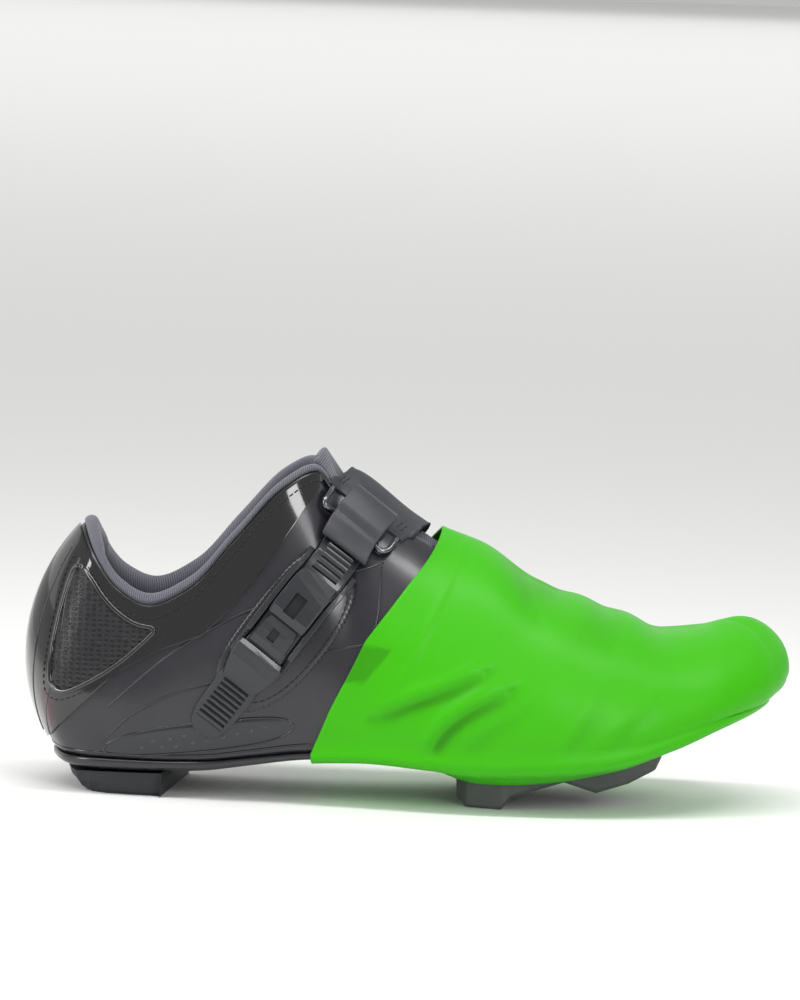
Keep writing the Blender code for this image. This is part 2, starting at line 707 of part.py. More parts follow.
def make_outsole():
    """The stiff plate, lofted from heel to toe, with a rounded edge and a platform under the ball."""
    stations = stations_between(0, TOE_ROW, side=1)
    outs = column(SOLE_EDGE_COLUMNS, SOLE_EDGE_ROWS, "out")
    depths = column(SOLE_EDGE_COLUMNS, SOLE_EDGE_ROWS, "depth")

    def edge(side, k):
        return foot_edges(side * stations, outs[k], lambda x: sole_height(x, depths[k]))

    outer = [edge(-1, k) for k in range(len(outs))]
    inner = [edge(1, k) for k in range(len(outs))]
    shares = (0.22, 0.78)

    def across(a, b, depth):
        rows = [a + (b - a) * t for t in shares]
        for row in rows:
            row[:, 2] = sole_height(row[:, 0], depth)
        return rows

    top = across(outer[0], inner[0], 0.0)
    bottom = across(inner[-1], outer[-1], 1.0)
    ring = [outer[0], *top, inner[0], *inner[1:], *bottom, *outer[:0:-1]]
    rings = np.stack(ring, axis=1)
    return add_piece("outsole", loft("outsole", rings), "sole_composite")


def make_insole():
    """The insole: a flat sheet inside the upper's wall, on the sole."""
    stations = stations_between(0, TOE_ROW, side=1)[1:-1]
    inset = -(UPPER_WALL + INSOLE_MARGIN)

    def edge(side, lift):
        return foot_edges(side * stations, inset, lambda x: sole_height(x, 0.0, -lift))

    low, high = FIT_GAP, FIT_GAP + INSOLE_THICKNESS
    outer_low, inner_low = edge(-1, low), edge(1, low)
    outer_high, inner_high = edge(-1, high), edge(1, high)
    wide = (inner_low - outer_low)[:, 1] > 4 * MM
    ring = [outer_high, inner_high, inner_low, outer_low]
    rings = np.stack(ring, axis=1)[wide]
    return add_piece("insole", loft("insole", rings, smooth=False), "insole_fabric")


def make_heel_pad():
    """The rubber heel pad: a D in plan, bevelled up at the back, its front edge slanting."""
    stations = np.linspace(-0.36, 0.36, 29)
    foot, _, _, _, outward = ribs(stations)
    backward = np.maximum(0.0, -outward[:, 0])[:, None] ** 2
    front_share = (foot[:, 1] / (last_column("outer")[3] * BALL_WIDTH) + 1) / 2
    front = HEEL_PAD_FRONT_OUTER + (HEEL_PAD_FRONT_INNER - HEEL_PAD_FRONT_OUTER) * front_share

    # The sole's underside curves up to its sides, and the pad's top follows it
    crown = np.minimum(1.0, 0.80 + 0.30 * backward[:, 0])
    crown[[0, -1]] = 1.0

    def level(inset, z=0.0, depth=None):
        place = foot - outward * inset
        place[:, 0] = np.minimum(place[:, 0], front)
        place = place + SHIFT
        place[:, 2] = z if depth is None else sole_height(place[:, 0], depth) - FIT_GAP
        return place

    rings = [
        level(HEEL_PAD_INSET + HEEL_PAD_CROWN, depth=1.0),
        level(HEEL_PAD_INSET + 2 * MM * backward, depth=crown),
        level(HEEL_PAD_INSET + 3 * MM * backward, 4.2 * MM),
        level(HEEL_PAD_INSET + 0.5 * MM + HEEL_PAD_BEVEL * backward * 0.7, 1.2 * MM),
        level(HEEL_PAD_INSET + 1.2 * MM + HEEL_PAD_BEVEL * backward, 0.0),
    ]
    return add_piece("heel_pad", loft("heel_pad", rings), "heel_rubber")


def cleat_section(share):
    """Half width, pad height and middle height of the cleat at a share of its length."""
    along = column(CLEAT_COLUMNS, CLEAT_ROWS, "along")
    rear = float(sole_height(CLEAT_START + SHIFT[0], 1.0)) - FIT_GAP
    half = np.interp(share, along, column(CLEAT_COLUMNS, CLEAT_ROWS, "half")) * CLEAT_WIDTH / 2
    pad = np.interp(share, along, column(CLEAT_COLUMNS, CLEAT_ROWS, "pad")) * rear
    middle = np.interp(share, along, column(CLEAT_COLUMNS, CLEAT_ROWS, "middle")) * rear
    return half, pad, middle


def make_cleat():
    """The three-bolt cleat: a plate that tapers to its nose, two walking pads, a recessed middle."""
    rings = []
    shares = sorted({row[0] for row in CLEAT_ROWS} | {0.12, 0.38, 0.60, 0.76, 0.91})
    for share in shares:
        x = CLEAT_START + share * CLEAT_LENGTH + SHIFT[0]
        top = float(sole_height(x, 1.0)) - FIT_GAP
        half, pad, middle = cleat_section(share)
        middle = min(middle, top - 2.2 * MM)
        pad = min(pad, top - 2.0 * MM)
        inner = 0.50 * half
        rings.append([
            (x, -half, top), (x, -half, pad + 1.2 * MM), (x, -half + 1.2 * MM, pad),
            (x, -inner - 1.5 * MM, pad), (x, -inner, middle), (x, inner, middle),
            (x, inner + 1.5 * MM, pad), (x, half - 1.2 * MM, pad), (x, half, pad + 1.2 * MM),
            (x, half, top),
        ])
    return add_piece("cleat", loft("cleat", rings, smooth=False), "cleat_plastic")


def make_bolt(name, share, y):
    """A bolt head with its washer face, under the recessed middle of the cleat."""
    middle = min(cleat_section(share)[2], float(sole_height(
        CLEAT_START + share * CLEAT_LENGTH + SHIFT[0], 1.0)) - FIT_GAP - 2.2 * MM)
    work = bmesh.new()
    bmesh.ops.create_cone(
        work, cap_ends=True, segments=20, radius1=BOLT_HEAD / 2 - 0.5 * MM, radius2=BOLT_HEAD / 2,
        depth=BOLT_HEAD_HEIGHT,
    )
    mesh = bpy.data.meshes.new(name)
    work.to_mesh(mesh)
    work.free()
    bolt = add_piece(name, mesh, "bolt_steel")
    x = CLEAT_START + share * CLEAT_LENGTH + SHIFT[0]
    ahead = cleat_section(share + 0.06)[2] - cleat_section(share - 0.06)[2]
    bolt.rotation_euler = (0.0, -math.atan2(ahead, 0.12 * CLEAT_LENGTH), 0.0)
    bolt.location = (x, y, middle - BOLT_HEAD_HEIGHT / 2 - 0.5 * MM)
    return bolt


def make_counter_and_mesh():
    """The patent counter along the collar and round the heel, with a mesh window on each side."""
    lift = FIT_GAP + SAG
    levels = np.concatenate([[0.04], UPPER_LEVELS[1:-1], [0.965]])
    outline = prism("counter_outline", rounded_outline(side_outline(COUNTER_OUTLINE)), -0.2, 0.2)
    window = prism("mesh_window", rounded_outline(side_outline(MESH_OUTLINE), 1), -0.2, 0.2)
    counter = add_piece(
        "heel_counter", patch_mesh("heel_counter", stations_between(0, THROAT_TOP_ROW), levels, lift), "patent"
    )
    solidify(counter, COUNTER_THICKNESS, outwards=True)
    boolean(counter, add_cutter("counter_outline", outline), "INTERSECT")
    boolean(counter, add_cutter("mesh_window", window), "DIFFERENCE")
    pane = shrunk(rounded_outline(side_outline(MESH_OUTLINE), 1), FIT_GAP + 0.1 * MM)
    for name, side in (("mesh_panel_outer", -1), ("mesh_panel_inner", 1)):
        near, far = sorted((side * 1 * MM, side * 0.2))
        cutter = add_cutter(name + "_outline", prism(name + "_outline", pane, near, far))
        stations = stations_between(0, 4, side=side)
        panel = add_piece(name, patch_mesh(name, stations, levels, lift), "mesh")
        solidify(panel, MESH_THICKNESS, outwards=True)
        boolean(panel, cutter, "INTERSECT")


def lift_over_straps(along, level):
    """How far the latex stands off what it covers, at that place along the ridge and height."""
    total = np.zeros(np.broadcast(along, level).shape)
    for place, height, half, fade in LIFT_ROWS:
        near = np.clip(1 - np.abs((along - place * LAST_LENGTH) / half), 0, 1)
        total = total + height * ease(near) * ease((level - fade) / (1 - fade))
    return total


def cover_edge(levels):
    """Stations at which the cover's rear edge crosses those levels of the wall."""
    edge_x = column(COVER_EDGE_COLUMNS, COVER_EDGE_ROWS, "along") * LAST_LENGTH
    edge_z = column(COVER_EDGE_COLUMNS, COVER_EDGE_ROWS, "high") * INSTEP_HEIGHT
    tries = np.linspace(STATIONS[5], STATIONS[VAMP_ROW], 240)
    found = []
    for level in levels:
        place = bezier(ribs(tries)[:4], np.full(tries.shape, level))
        found.append(np.interp(0.0, place[:, 0] - np.interp(place[:, 2], edge_z, edge_x), tries))
    return np.array(found)


def make_toe_cover():
    """The latex cover: a skin over the toe and under the sole, open behind and round the cleat."""
    # Its ribs stand closer together towards the toe, where the last bends more
    share = 1 - (1 - np.linspace(0, 1, COVER_RINGS)[:, None]) ** 1.2
    levels = np.array([1.0, 0.93, 0.85, 0.76, 0.66, 0.54, 0.41, 0.27, 0.14, 0.05, 0.0])[None, :]
    rear = cover_edge(levels[0])[None, :]
    stations = rear + (1 - rear) * share

    def side_of(side):
        x = bezier(ribs(stations)[:4], np.broadcast_to(levels, stations.shape))[..., 0]
        skin = last_points(side * stations, levels, COVER_LIFT + lift_over_straps(x, levels))
        # The toe's wall starts almost flat, so the skin leaves it above the feather line
        low = side * stations[:, -1]
        rows = []
        for out, depth in SOLE_EDGE_ROWS:
            row = foot_edges(low, out, lambda x: sole_height(x, depth))
            row += ribs(low)[4] * (COVER_LIFT + SAG)
            row[:, 2] -= depth * (COVER_LIFT + SAG)
            rows.append(row)
        return [skin[:, j] for j in range(skin.shape[1] - 1)], rows

    outer_skin, outer_edge = side_of(-1)
    inner_skin, inner_edge = side_of(1)
    outer_skin[0] = inner_skin[0] = (outer_skin[0] + inner_skin[0]) / 2

    def under(t):
        row = outer_edge[-1] + (inner_edge[-1] - outer_edge[-1]) * t
        row[:, 2] = sole_height(row[:, 0], 1.0) - COVER_LIFT - 2 * SAG
        return row

    ring = [*outer_skin, *outer_edge, *(under(t) for t in (0.22, 0.78))]
    ring += [*inner_edge[::-1], *inner_skin[:0:-1]]
    grid = np.stack(ring, axis=1)
    count, size = grid.shape[:2]
    faces = [
        (i * size + j, i * size + (j + 1) % size, (i + 1) * size + (j + 1) % size, (i + 1) * size + j)
        for i in range(count - 1)
        for j in range(size)
    ]
    mesh = mesh_from("toe_cover", grid.reshape(-1, 3), faces, recalculate=False)
    cover = add_piece("toe_cover", mesh, "latex")
    solidify(cover, LATEX, outwards=True, even=False)
    shares = column(CLEAT_COLUMNS, CLEAT_ROWS, "along")
    halves = column(CLEAT_COLUMNS, CLEAT_ROWS, "half") * CLEAT_WIDTH / 2 + CLEAT_HOLE_MARGIN
    x = CLEAT_START + shares * CLEAT_LENGTH + SHIFT[0]
    x[0] -= CLEAT_HOLE_MARGIN
    x[-1] += CLEAT_HOLE_MARGIN
    outline = list(zip(x, halves)) + list(zip(x[::-1], -halves[::-1]))
    hole = prism("cleat_opening", outline, 0.0, float(sole_height(x[-1], 0.0)), depth_axis="z")
    boolean(cover, add_cutter("cleat_opening", hole), "DIFFERENCE")
    return cover


def strap_axes():
    """Where the strap crosses the ridge, its way down and back, and its way across, in the side view."""
    slope = math.radians(STRAP_SLOPE)
    crossing = np.array([STRAP_CROSSING + SHIFT[0], 0.0, STRAP_CROSSING_HEIGHT])
    down = np.array([-math.cos(slope), 0.0, -math.sin(slope)])
    across = np.array([math.sin(slope), 0.0, -math.cos(slope)])
    return crossing, down, across


def last_tree():
    """The last as a fine surface, for laying straps on it."""
    stations = subdivided(stations_between(0, TOE_ROW), 2)
    grid = last_points(stations[:, None], np.linspace(0, 1, 25)[None, :])
    rows, high = grid.shape[:2]
    faces = [
        (i * high + j, i * high + j + 1, (i + 1) * high + j + 1, (i + 1) * high + j)
        for i in range(rows - 1)
        for j in range(high - 1)
    ]
    return BVHTree.FromPolygons([tuple(p) for p in grid.reshape(-1, 3)], faces)


def lay_from_side(tree, down, across, proud):
    """A point on the outer side, given down and across the strap, standing proud of the last."""
    crossing, d, w = strap_axes()
    start = Vector(crossing + d * down + w * across)
    start.y = -0.2
    place, normal, _, _ = tree.ray_cast(start, Vector((0, 1, 0)))
    if place is None:
        raise ValueError(f"nothing under the strap at {down:.4f}, {across:.4f}")
    if normal.y > 0:
        normal = -normal
    return np.array(place + normal * proud)


def lay_around(tree, angle, across, proud):
    """A point of the strap's band, found by a ray from outside towards a centre inside the instep."""
    crossing, d, w = strap_axes()
    centre = crossing + d * 40 * MM + w * across
    turn = math.radians(angle)
    out = -d * math.cos(turn) + np.array([0.0, 1.0, 0.0]) * math.sin(turn)
    place, normal, _, _ = tree.ray_cast(Vector(centre + out * 0.12), Vector(-out))
    if place is None:
        raise ValueError(f"nothing under the strap at {angle:.0f} degrees")
    if normal.dot(Vector(out)) < 0:
        normal = -normal
    return np.array(place + normal * proud)


def buckle_place(tree, down, across, height):
    """A point of the stiff parts: their cross-section stays straight while it follows the strap down."""
    reach = 8 * MM
    low = lay_from_side(tree, down, RATCHET_MIDDLE - reach, 0.0)
    high = lay_from_side(tree, down, RATCHET_MIDDLE + reach, 0.0)
    behind = lay_from_side(tree, down - 5 * MM, RATCHET_MIDDLE, 0.0)
    ahead = lay_from_side(tree, down + 5 * MM, RATCHET_MIDDLE, 0.0)
    width = (high - low) / np.linalg.norm(high - low)
    normal = np.cross(width, ahead - behind)
    normal /= np.linalg.norm(normal)
    if normal[1] > 0:
        normal = -normal
    middle = lay_from_side(tree, down, RATCHET_MIDDLE, 0.0)
    return middle + width * (across - RATCHET_MIDDLE) + normal * height


def filled(rows):
    """The rows with one more at each multiple of LAY_STEP down the strap, so that all parts of the buckle
    bend at the same places."""
    table = np.array(rows)
    steps = np.arange(math.ceil(table[0, 0] / LAY_STEP), math.floor(table[-1, 0] / LAY_STEP) + 1) * LAY_STEP
    near = np.abs(steps[:, None] - table[None, :, 0]).min(axis=1) < 0.2 * LAY_STEP
    downs = np.sort(np.concatenate([table[:, 0], steps[~near]]))
    return np.stack([np.interp(downs, table[:, 0], values) for values in table.T], axis=1)


def slab(tree, name, rows, half_width, material, chamfer=0.7 * MM):
    """A part of the buckle lofted along the strap, with its two long top edges chamfered."""
    rings = []
    for down, low, high, share in filled(rows):
        half = half_width * share
        left, right = RATCHET_MIDDLE - half, RATCHET_MIDDLE + half
        ring = (
            (left, low), (left, high - chamfer), (left + chamfer, high),
            (right - chamfer, high), (right, high - chamfer), (right, low),
        )
        rings.append([buckle_place(tree, down, across, height) for across, height in ring])
    return add_piece(name, loft(name, rings, smooth=False), material)


def cut_window(tree, piece, name, deck):
    start, end, left, right = WINDOWS[name]
    corners = ((start, left), (start, right), (end, right), (end, left))
    rings = [
        [buckle_place(tree, a, b, deck + height) for a, b in corners] for height in (-1 * MM, 6 * MM)
    ]
    boolean(piece, add_cutter(name, loft(name, rings, smooth=False)), "DIFFERENCE")


def make_instep_strap(tree):
    """The wide strap over the instep: from its seam low on the inner side to the ring on the outer side."""
    offsets = np.linspace(-STRAP_WIDTH / 2, STRAP_WIDTH / 2, 6)
    lift = STRAP_LIFT
    rows = []
    for down, drift in ((STRAP_END, 1.0), (0.62 * STRAP_END, 0.8)):
        rows.append([lay_from_side(tree, down, o + drift * STRAP_DRIFT, lift) for o in offsets])
    angles = np.concatenate([np.linspace(-9, 60, 11), np.linspace(71, STRAP_ANCHOR_ANGLE, 8)])
    for angle in angles:
        taper = 1 - 0.34 * ease((angle - 5) / 50)
        drift = STRAP_DRIFT * (ease((10 - angle) / 38) + 0.5 * ease((angle - 5) / 45))
        rows.append([lay_around(tree, angle, o * taper + drift, lift) for o in offsets])
    strap = add_piece("instep_strap", grid_mesh("instep_strap", np.array(rows)), "strap")
    solidify(strap, STRAP_THICKNESS, outwards=True)
    return strap


def make_ring(tree):
    """The wire loop at the strap's end that the ratchet strap's link hangs on."""
    side = STRAP_WIDTH / 2 - RING_WIRE
    start = STRAP_END + RING_WIRE / 2
    corner = 3.2 * MM
    bend = [corner * (1 - math.sin(math.radians(t))) for t in (0, 30, 60, 90)]
    turn = [(RING_END - c, side - d) for c, d in zip(bend, bend[::-1])]
    leg = [(start + (RING_END - corner - start) * t, side) for t in (0.0, 0.5)]
    half = leg + turn
    route = [(a, -b) for a, b in half] + [(RING_END, b) for b in (-9 * MM, 1.5 * MM, 12 * MM)]
    route += [(a, b) for a, b in half[::-1]]
    rise = STRAP_LIFT + SAG + RING_WIRE / 2
    path = bpy.data.curves.new("strap_ring", "CURVE")
    path.dimensions = "3D"
    path.bevel_depth = RING_WIRE / 2
    path.bevel_resolution = 1
    path.use_fill_caps = True
    wire = path.splines.new("POLY")
    wire.points.add(len(route) - 1)
    for point, (a, b) in zip(wire.points, route):
        under_link = abs(b + STRAP_DRIFT - RATCHET_MIDDLE) < LINK_WIDTH / 2
        place = buckle_place if under_link else lay_from_side
        point.co = (*place(tree, a, b + STRAP_DRIFT, rise), 1.0)
    ring = bpy.data.objects.new("strap_ring", path)
    ring.data.materials.append(finish("ring_metal"))
    shoe.objects.link(ring)
    return ring


def make_patch(tree):
    """The sewn patch under the buckle: the last's own form inside an oval outline."""
    offsets = np.linspace(17 * MM, -20 * MM, 8)
    downs = np.linspace(27 * MM, 98 * MM, 12)
    rows = [[lay_from_side(tree, d, o, PATCH_LIFT) for o in offsets] for d in downs]
    patch = add_piece("buckle_patch", grid_mesh("buckle_patch", np.array(rows)), "microfibre")
    solidify(patch, PATCH_THICKNESS, outwards=True)
    crossing, down, across = strap_axes()
    outline = [
        tuple((crossing + down * a + across * b)[[0, 2]]) for a, b in rounded_outline(PATCH_OUTLINE, 1)
    ]
    boolean(patch, add_cutter("patch_outline", prism("patch_outline", outline, -0.2, 0.0)), "INTERSECT")
    return patch


def make_buckle(tree):
    """Link, ratchet strap, and the buckle with its two rails, lever, pawl and release catch."""
    half = RATCHET_WIDTH / 2
    over_ring = STRAP_LIFT + max(STRAP_THICKNESS, RING_WIRE) + FIT_GAP + 6 * SAG
    floor = PATCH_LIFT + PATCH_THICKNESS + FIT_GAP + 3 * SAG
    on_floor = floor + BASE_FLOOR + FIT_GAP + SAG
    on_patch = PATCH_LIFT + PATCH_THICKNESS + FIT_GAP + SAG
    deck = on_floor + RATCHET_THICKNESS + FIT_GAP + SAG

    def above(level, rows):
        return [(down, level + low, level + high, share) for down, low, high, share in rows]

    ratchet = [(down, on_patch + (on_floor - on_patch) * rise, share) for down, rise, share in RATCHET_ROWS]
    slab(tree, "ratchet_link", above(over_ring, LINK_ROWS), LINK_WIDTH / 2, "strap")
    slab(
        tree, "ratchet_strap", [(down, low, low + RATCHET_THICKNESS, share) for down, low, share in ratchet],
        half, "buckle_plastic", chamfer=0.4 * MM,
    )
    inner = half + RAIL_CLEARANCE
    outer = inner + RAIL
    rings = []
    for down, top in filled(RAIL_ROWS):
        low, high = floor + BASE_FLOOR, floor + BASE_FLOOR + top
        profile = (
            (-outer, floor), (-outer, high), (-inner, high), (-inner, low),
            (inner, low), (inner, high), (outer, high), (outer, floor),
        )
        rings.append([buckle_place(tree, down, RATCHET_MIDDLE + b, h) for b, h in profile])
    add_piece("buckle_base", loft("buckle_base", rings, smooth=False), "buckle_plastic")
    lever = slab(tree, "buckle_lever", above(deck, LEVER_ROWS), half, "buckle_plastic")
    cut_window(tree, lever, "lever_window", deck)
    pawl = slab(tree, "buckle_pawl", above(deck, PAWL_ROWS), half, "buckle_plastic", chamfer=0.5 * MM)
    cut_window(tree, pawl, "pawl_window", deck)
    slab(tree, "buckle_catch", above(deck, CATCH_ROWS), CATCH_WIDTH / 2, "buckle_plastic")


def main():
    make_upper()
    make_collar_lining()
    make_tongue()
    make_outsole()
    make_insole()
    make_heel_pad()
    make_cleat()
    make_bolt("cleat_bolt_front", 0.72, 0.0)
    make_bolt("cleat_bolt_outer", 0.34, -BOLT_SPREAD)
    make_bolt("cleat_bolt_inner", 0.34, BOLT_SPREAD)
    make_counter_and_mesh()
    make_toe_cover()
    tree = last_tree()
    make_instep_strap(tree)
    make_ring(tree)
    make_patch(tree)
    make_buckle(tree)


clear_scene()
shoe = collection("toe_cover_on_shoe")
cutters = collection("cutters")
main()
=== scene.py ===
# %% [markdown]
# # Latex toe cover on a road cycling shoe
# A rider pulls this thin latex sleeve over the front of a racing shoe to keep rain and wind out. The shoe
# below it is black and grey synthetic leather with a ratchet buckle on its outer side. The solids come
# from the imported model. This script dresses them with finer surfaces, seams, stitches and finishes.

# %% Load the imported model
import math

import bmesh
import bpy
import numpy as np
from mathutils import Matrix, Vector
from mathutils.bvhtree import BVHTree


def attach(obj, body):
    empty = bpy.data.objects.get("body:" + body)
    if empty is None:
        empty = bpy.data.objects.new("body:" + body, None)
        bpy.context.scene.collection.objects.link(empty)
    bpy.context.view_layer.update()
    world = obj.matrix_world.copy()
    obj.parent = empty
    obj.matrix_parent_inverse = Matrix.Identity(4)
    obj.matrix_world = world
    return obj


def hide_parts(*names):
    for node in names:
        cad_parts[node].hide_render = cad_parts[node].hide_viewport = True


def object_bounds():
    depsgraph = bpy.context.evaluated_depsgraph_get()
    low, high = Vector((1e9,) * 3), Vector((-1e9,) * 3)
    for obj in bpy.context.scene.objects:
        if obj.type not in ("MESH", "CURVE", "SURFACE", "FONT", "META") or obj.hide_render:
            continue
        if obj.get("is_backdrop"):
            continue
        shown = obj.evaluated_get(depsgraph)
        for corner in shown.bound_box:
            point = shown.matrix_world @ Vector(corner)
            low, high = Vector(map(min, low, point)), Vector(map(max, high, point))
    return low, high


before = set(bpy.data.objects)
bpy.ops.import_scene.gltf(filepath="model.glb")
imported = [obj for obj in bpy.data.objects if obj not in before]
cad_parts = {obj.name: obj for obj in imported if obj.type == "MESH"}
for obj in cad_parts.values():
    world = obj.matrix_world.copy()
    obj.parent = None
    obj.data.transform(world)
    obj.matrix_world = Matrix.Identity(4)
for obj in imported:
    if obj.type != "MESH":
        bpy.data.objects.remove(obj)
cad_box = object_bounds()
MM = 0.001
print("solids in the frame:", sorted(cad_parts))

# %% [markdown]
# ## The last
# A shoe is pulled tight over a last, so every layer of it, from the lining to the latex, is the same
# form moved in or out by a millimetre or two. The form is a skeleton of ribs from the sole line to the
# topline, with a smooth curve through the ribs. Each layer below asks it for points, and so they nest.

# %% Sizes of the lasted shoe
LAST_LENGTH = 283.5 * MM
BALL_WIDTH = 98.0 * MM
INSTEP_HEIGHT = 121.0 * MM
THROAT_WIDTH = 24.0 * MM
LAST_COLUMNS = (
    "foot_x", "outer", "inner", "foot_z", "plate", "top_x", "swing", "top_half", "top_z",
    "belly", "flare", "rise", "drop",
)
LAST_ROWS = (
    (0.039, 0.000, 0.000, 0.116, 0.052, 0.067, 0.000, 0.000, 0.806, 0.190, 0.222, 0.29, 0.28),
    (0.055, 0.215, 0.210, 0.116, 0.052, 0.083, 0.000, 0.165, 0.730, 0.155, 0.150, 0.30, 0.30),
    (0.098, 0.303, 0.295, 0.116, 0.052, 0.116, 0.000, 0.250, 0.632, 0.085, 0.075, 0.33, 0.34),
    (0.162, 0.330, 0.318, 0.116, 0.050, 0.159, 0.000, 0.296, 0.586, 0.055, 0.045, 0.35, 0.35),
    (0.229, 0.338, 0.318, 0.120, 0.046, 0.212, 0.000, 0.312, 0.645, 0.045, 0.050, 0.35, 0.36),
    (0.300, 0.350, 0.302, 0.140, 0.040, 0.270, 0.000, 0.302, 0.802, 0.042, 0.065, 0.35, 0.36),
    (0.360, 0.368, 0.290, 0.160, 0.036, 0.328, 0.000, 0.262, 0.955, 0.040, 0.100, 0.35, 0.34),
    (0.409, 0.392, 0.290, 0.169, 0.034, 0.370, 0.000, 0.185, 1.006, 0.040, 0.150, 0.35, 0.25),
    (0.459, 0.420, 0.305, 0.175, 0.036, 0.413, 0.000, 0.000, 1.003, 0.040, 0.265, 0.35, 0.12),
    (0.529, 0.458, 0.352, 0.173, 0.046, 0.500, 0.000, 0.000, 0.868, 0.038, 0.285, 0.36, 0.10),
    (0.600, 0.478, 0.415, 0.175, 0.070, 0.582, 0.002, 0.000, 0.750, 0.036, 0.300, 0.38, 0.06),
    (0.688, 0.478, 0.462, 0.184, 0.068, 0.670, 0.010, 0.000, 0.662, 0.034, 0.315, 0.40, 0.02),
    (0.769, 0.446, 0.466, 0.200, 0.056, 0.758, 0.030, 0.000, 0.584, 0.034, 0.310, 0.40, 0.00),
    (0.847, 0.374, 0.440, 0.249, 0.042, 0.829, 0.050, 0.000, 0.521, 0.042, 0.270, 0.36, -0.10),
    (0.910, 0.262, 0.376, 0.304, 0.036, 0.875, 0.068, 0.000, 0.530, 0.080, 0.220, 0.30, -0.18),
    (0.953, 0.105, 0.268, 0.335, 0.034, 0.903, 0.080, 0.000, 0.550, 0.140, 0.195, 0.24, -0.22),
    (0.969, -0.085, 0.085, 0.342, 0.034, 0.917, 0.085, 0.000, 0.559, 0.170, 0.190, 0.20, -0.25),
)
COLLAR_FRONT_ROW = 7
THROAT_TOP_ROW = 8
VAMP_ROW = 11


# %% A smooth curve through a column of sizes
def column(name):
    return np.array([row[LAST_COLUMNS.index(name)] for row in LAST_ROWS])


def smooth_curve(knots, values, at):
    """A curve through the knots that never swings past them."""
    step = np.diff(knots)
    slope = np.diff(values) / step
    before, after = slope[:-1], slope[1:]
    turning = before * after <= 0
    near, far = 2 * step[1:] + step[:-1], step[1:] + 2 * step[:-1]
    mean = (near + far) / (near / np.where(turning, 1.0, before) + far / np.where(turning, 1.0, after))
    tangent = np.concatenate([[0.0], np.where(turning, 0.0, mean), [0.0]])
    at = np.asarray(at, float)
    k = np.clip(np.searchsorted(knots, at, side="right") - 1, 0, len(step) - 1)
    t = (at - knots[k]) / step[k]
    rest = 1 - t
    return (
        values[k] * (1 + 2 * t) * rest**2
        + values[k + 1] * t * t * (3 - 2 * t)
        + step[k] * tangent[k] * t * rest**2
        - step[k] * tangent[k + 1] * t * t * rest
    )


def ease(t):
    t = np.clip(t, 0.0, 1.0)
    return t * t * (3 - 2 * t)


# %% Ribs of the last, by their place round the shoe
# A station is 0 at the heel and 1 at the toe. It is negative on the outer side.
row_steps = np.hypot(
    np.diff(column("foot_x")) * LAST_LENGTH,
    np.diff(column("outer") + column("inner")) / 2 * BALL_WIDTH,
)
STATIONS = np.concatenate([[0.0], np.cumsum(row_steps)]) / row_steps.sum()
KNOTS = np.concatenate([STATIONS[-3:-1] - 2, -STATIONS[::-1], STATIONS[1:], 2 - STATIONS[-2:-4:-1]])


def round_the_shoe(outer, inner):
    return np.concatenate([inner[-3:-1], outer[::-1], inner[1:], outer[-2:-4:-1]])


def along_rows(name, station):
    return smooth_curve(KNOTS, round_the_shoe(column(name), column(name)), station)


def sole_line(station):
    outline = round_the_shoe(-column("outer"), column("inner"))
    x = along_rows("foot_x", station) * LAST_LENGTH
    return x, smooth_curve(KNOTS, outline, station) * BALL_WIDTH


def ribs(station):
    """Control points of the wall's curve from sole line to topline, and the way out in plan."""
    station = np.asarray(station, float)
    foot_x, foot_y = sole_line(station)
    ahead, behind = sole_line(station + 1e-3), sole_line(station - 1e-3)
    out = np.stack([behind[1] - ahead[1], ahead[0] - behind[0], np.zeros_like(foot_x)], -1)
    out /= np.linalg.norm(out, axis=-1, keepdims=True)
    half = column("top_half")
    topline = round_the_shoe(column("swing") - half, column("swing") + half)
    top_y = smooth_curve(KNOTS, topline, station) * BALL_WIDTH
    foot = np.stack([foot_x, foot_y, along_rows("foot_z", station) * INSTEP_HEIGHT], -1)
    top_x = along_rows("top_x", station) * LAST_LENGTH
    top = np.stack([top_x, top_y, along_rows("top_z", station) * INSTEP_HEIGHT], -1)
    height = np.zeros_like(foot)
    height[..., 2] = (top - foot)[..., 2]
    belly, flare, rise, drop = (along_rows(n, station)[..., None] for n in ("belly", "flare", "rise", "drop"))
    low = foot + out * belly * BALL_WIDTH + height * rise
    high = top + out * flare * BALL_WIDTH - height * drop
    return foot, low, high, top, out


def wall_curve(station, level):
    a, b, c, d = ribs(station)[:4]
    v = level[..., None]
    return a * (1 - v) ** 3 + 3 * b * v * (1 - v) ** 2 + 3 * c * v * v * (1 - v) + d * v**3


# %% Points of any layer
probe_station, probe_level = np.meshgrid(np.linspace(-1, 1, 241), np.linspace(0, 0.8, 17))
probe_y = wall_curve(probe_station, probe_level)[..., 1]
SHIFT = np.array([-LAST_LENGTH / 2, -(probe_y.min() + probe_y.max()) / 2, 0.0])


def last_points(station, level, proud=0.0):
    """Points of the last moved out along its surface by proud."""
    station, level = np.broadcast_arrays(np.asarray(station, float), np.asarray(level, float))
    place = wall_curve(station, level) + SHIFT
    inside = np.clip(level, 0.01, 0.985)
    around = wall_curve(station + 2e-3, inside) - wall_curve(station - 2e-3, inside)
    upward = wall_curve(station, inside + 0.01) - wall_curve(station, inside - 0.01)
    normal = np.cross(upward, around)
    normal /= np.linalg.norm(normal, axis=-1, keepdims=True)
    return place + normal * np.broadcast_to(proud, level.shape)[..., None]


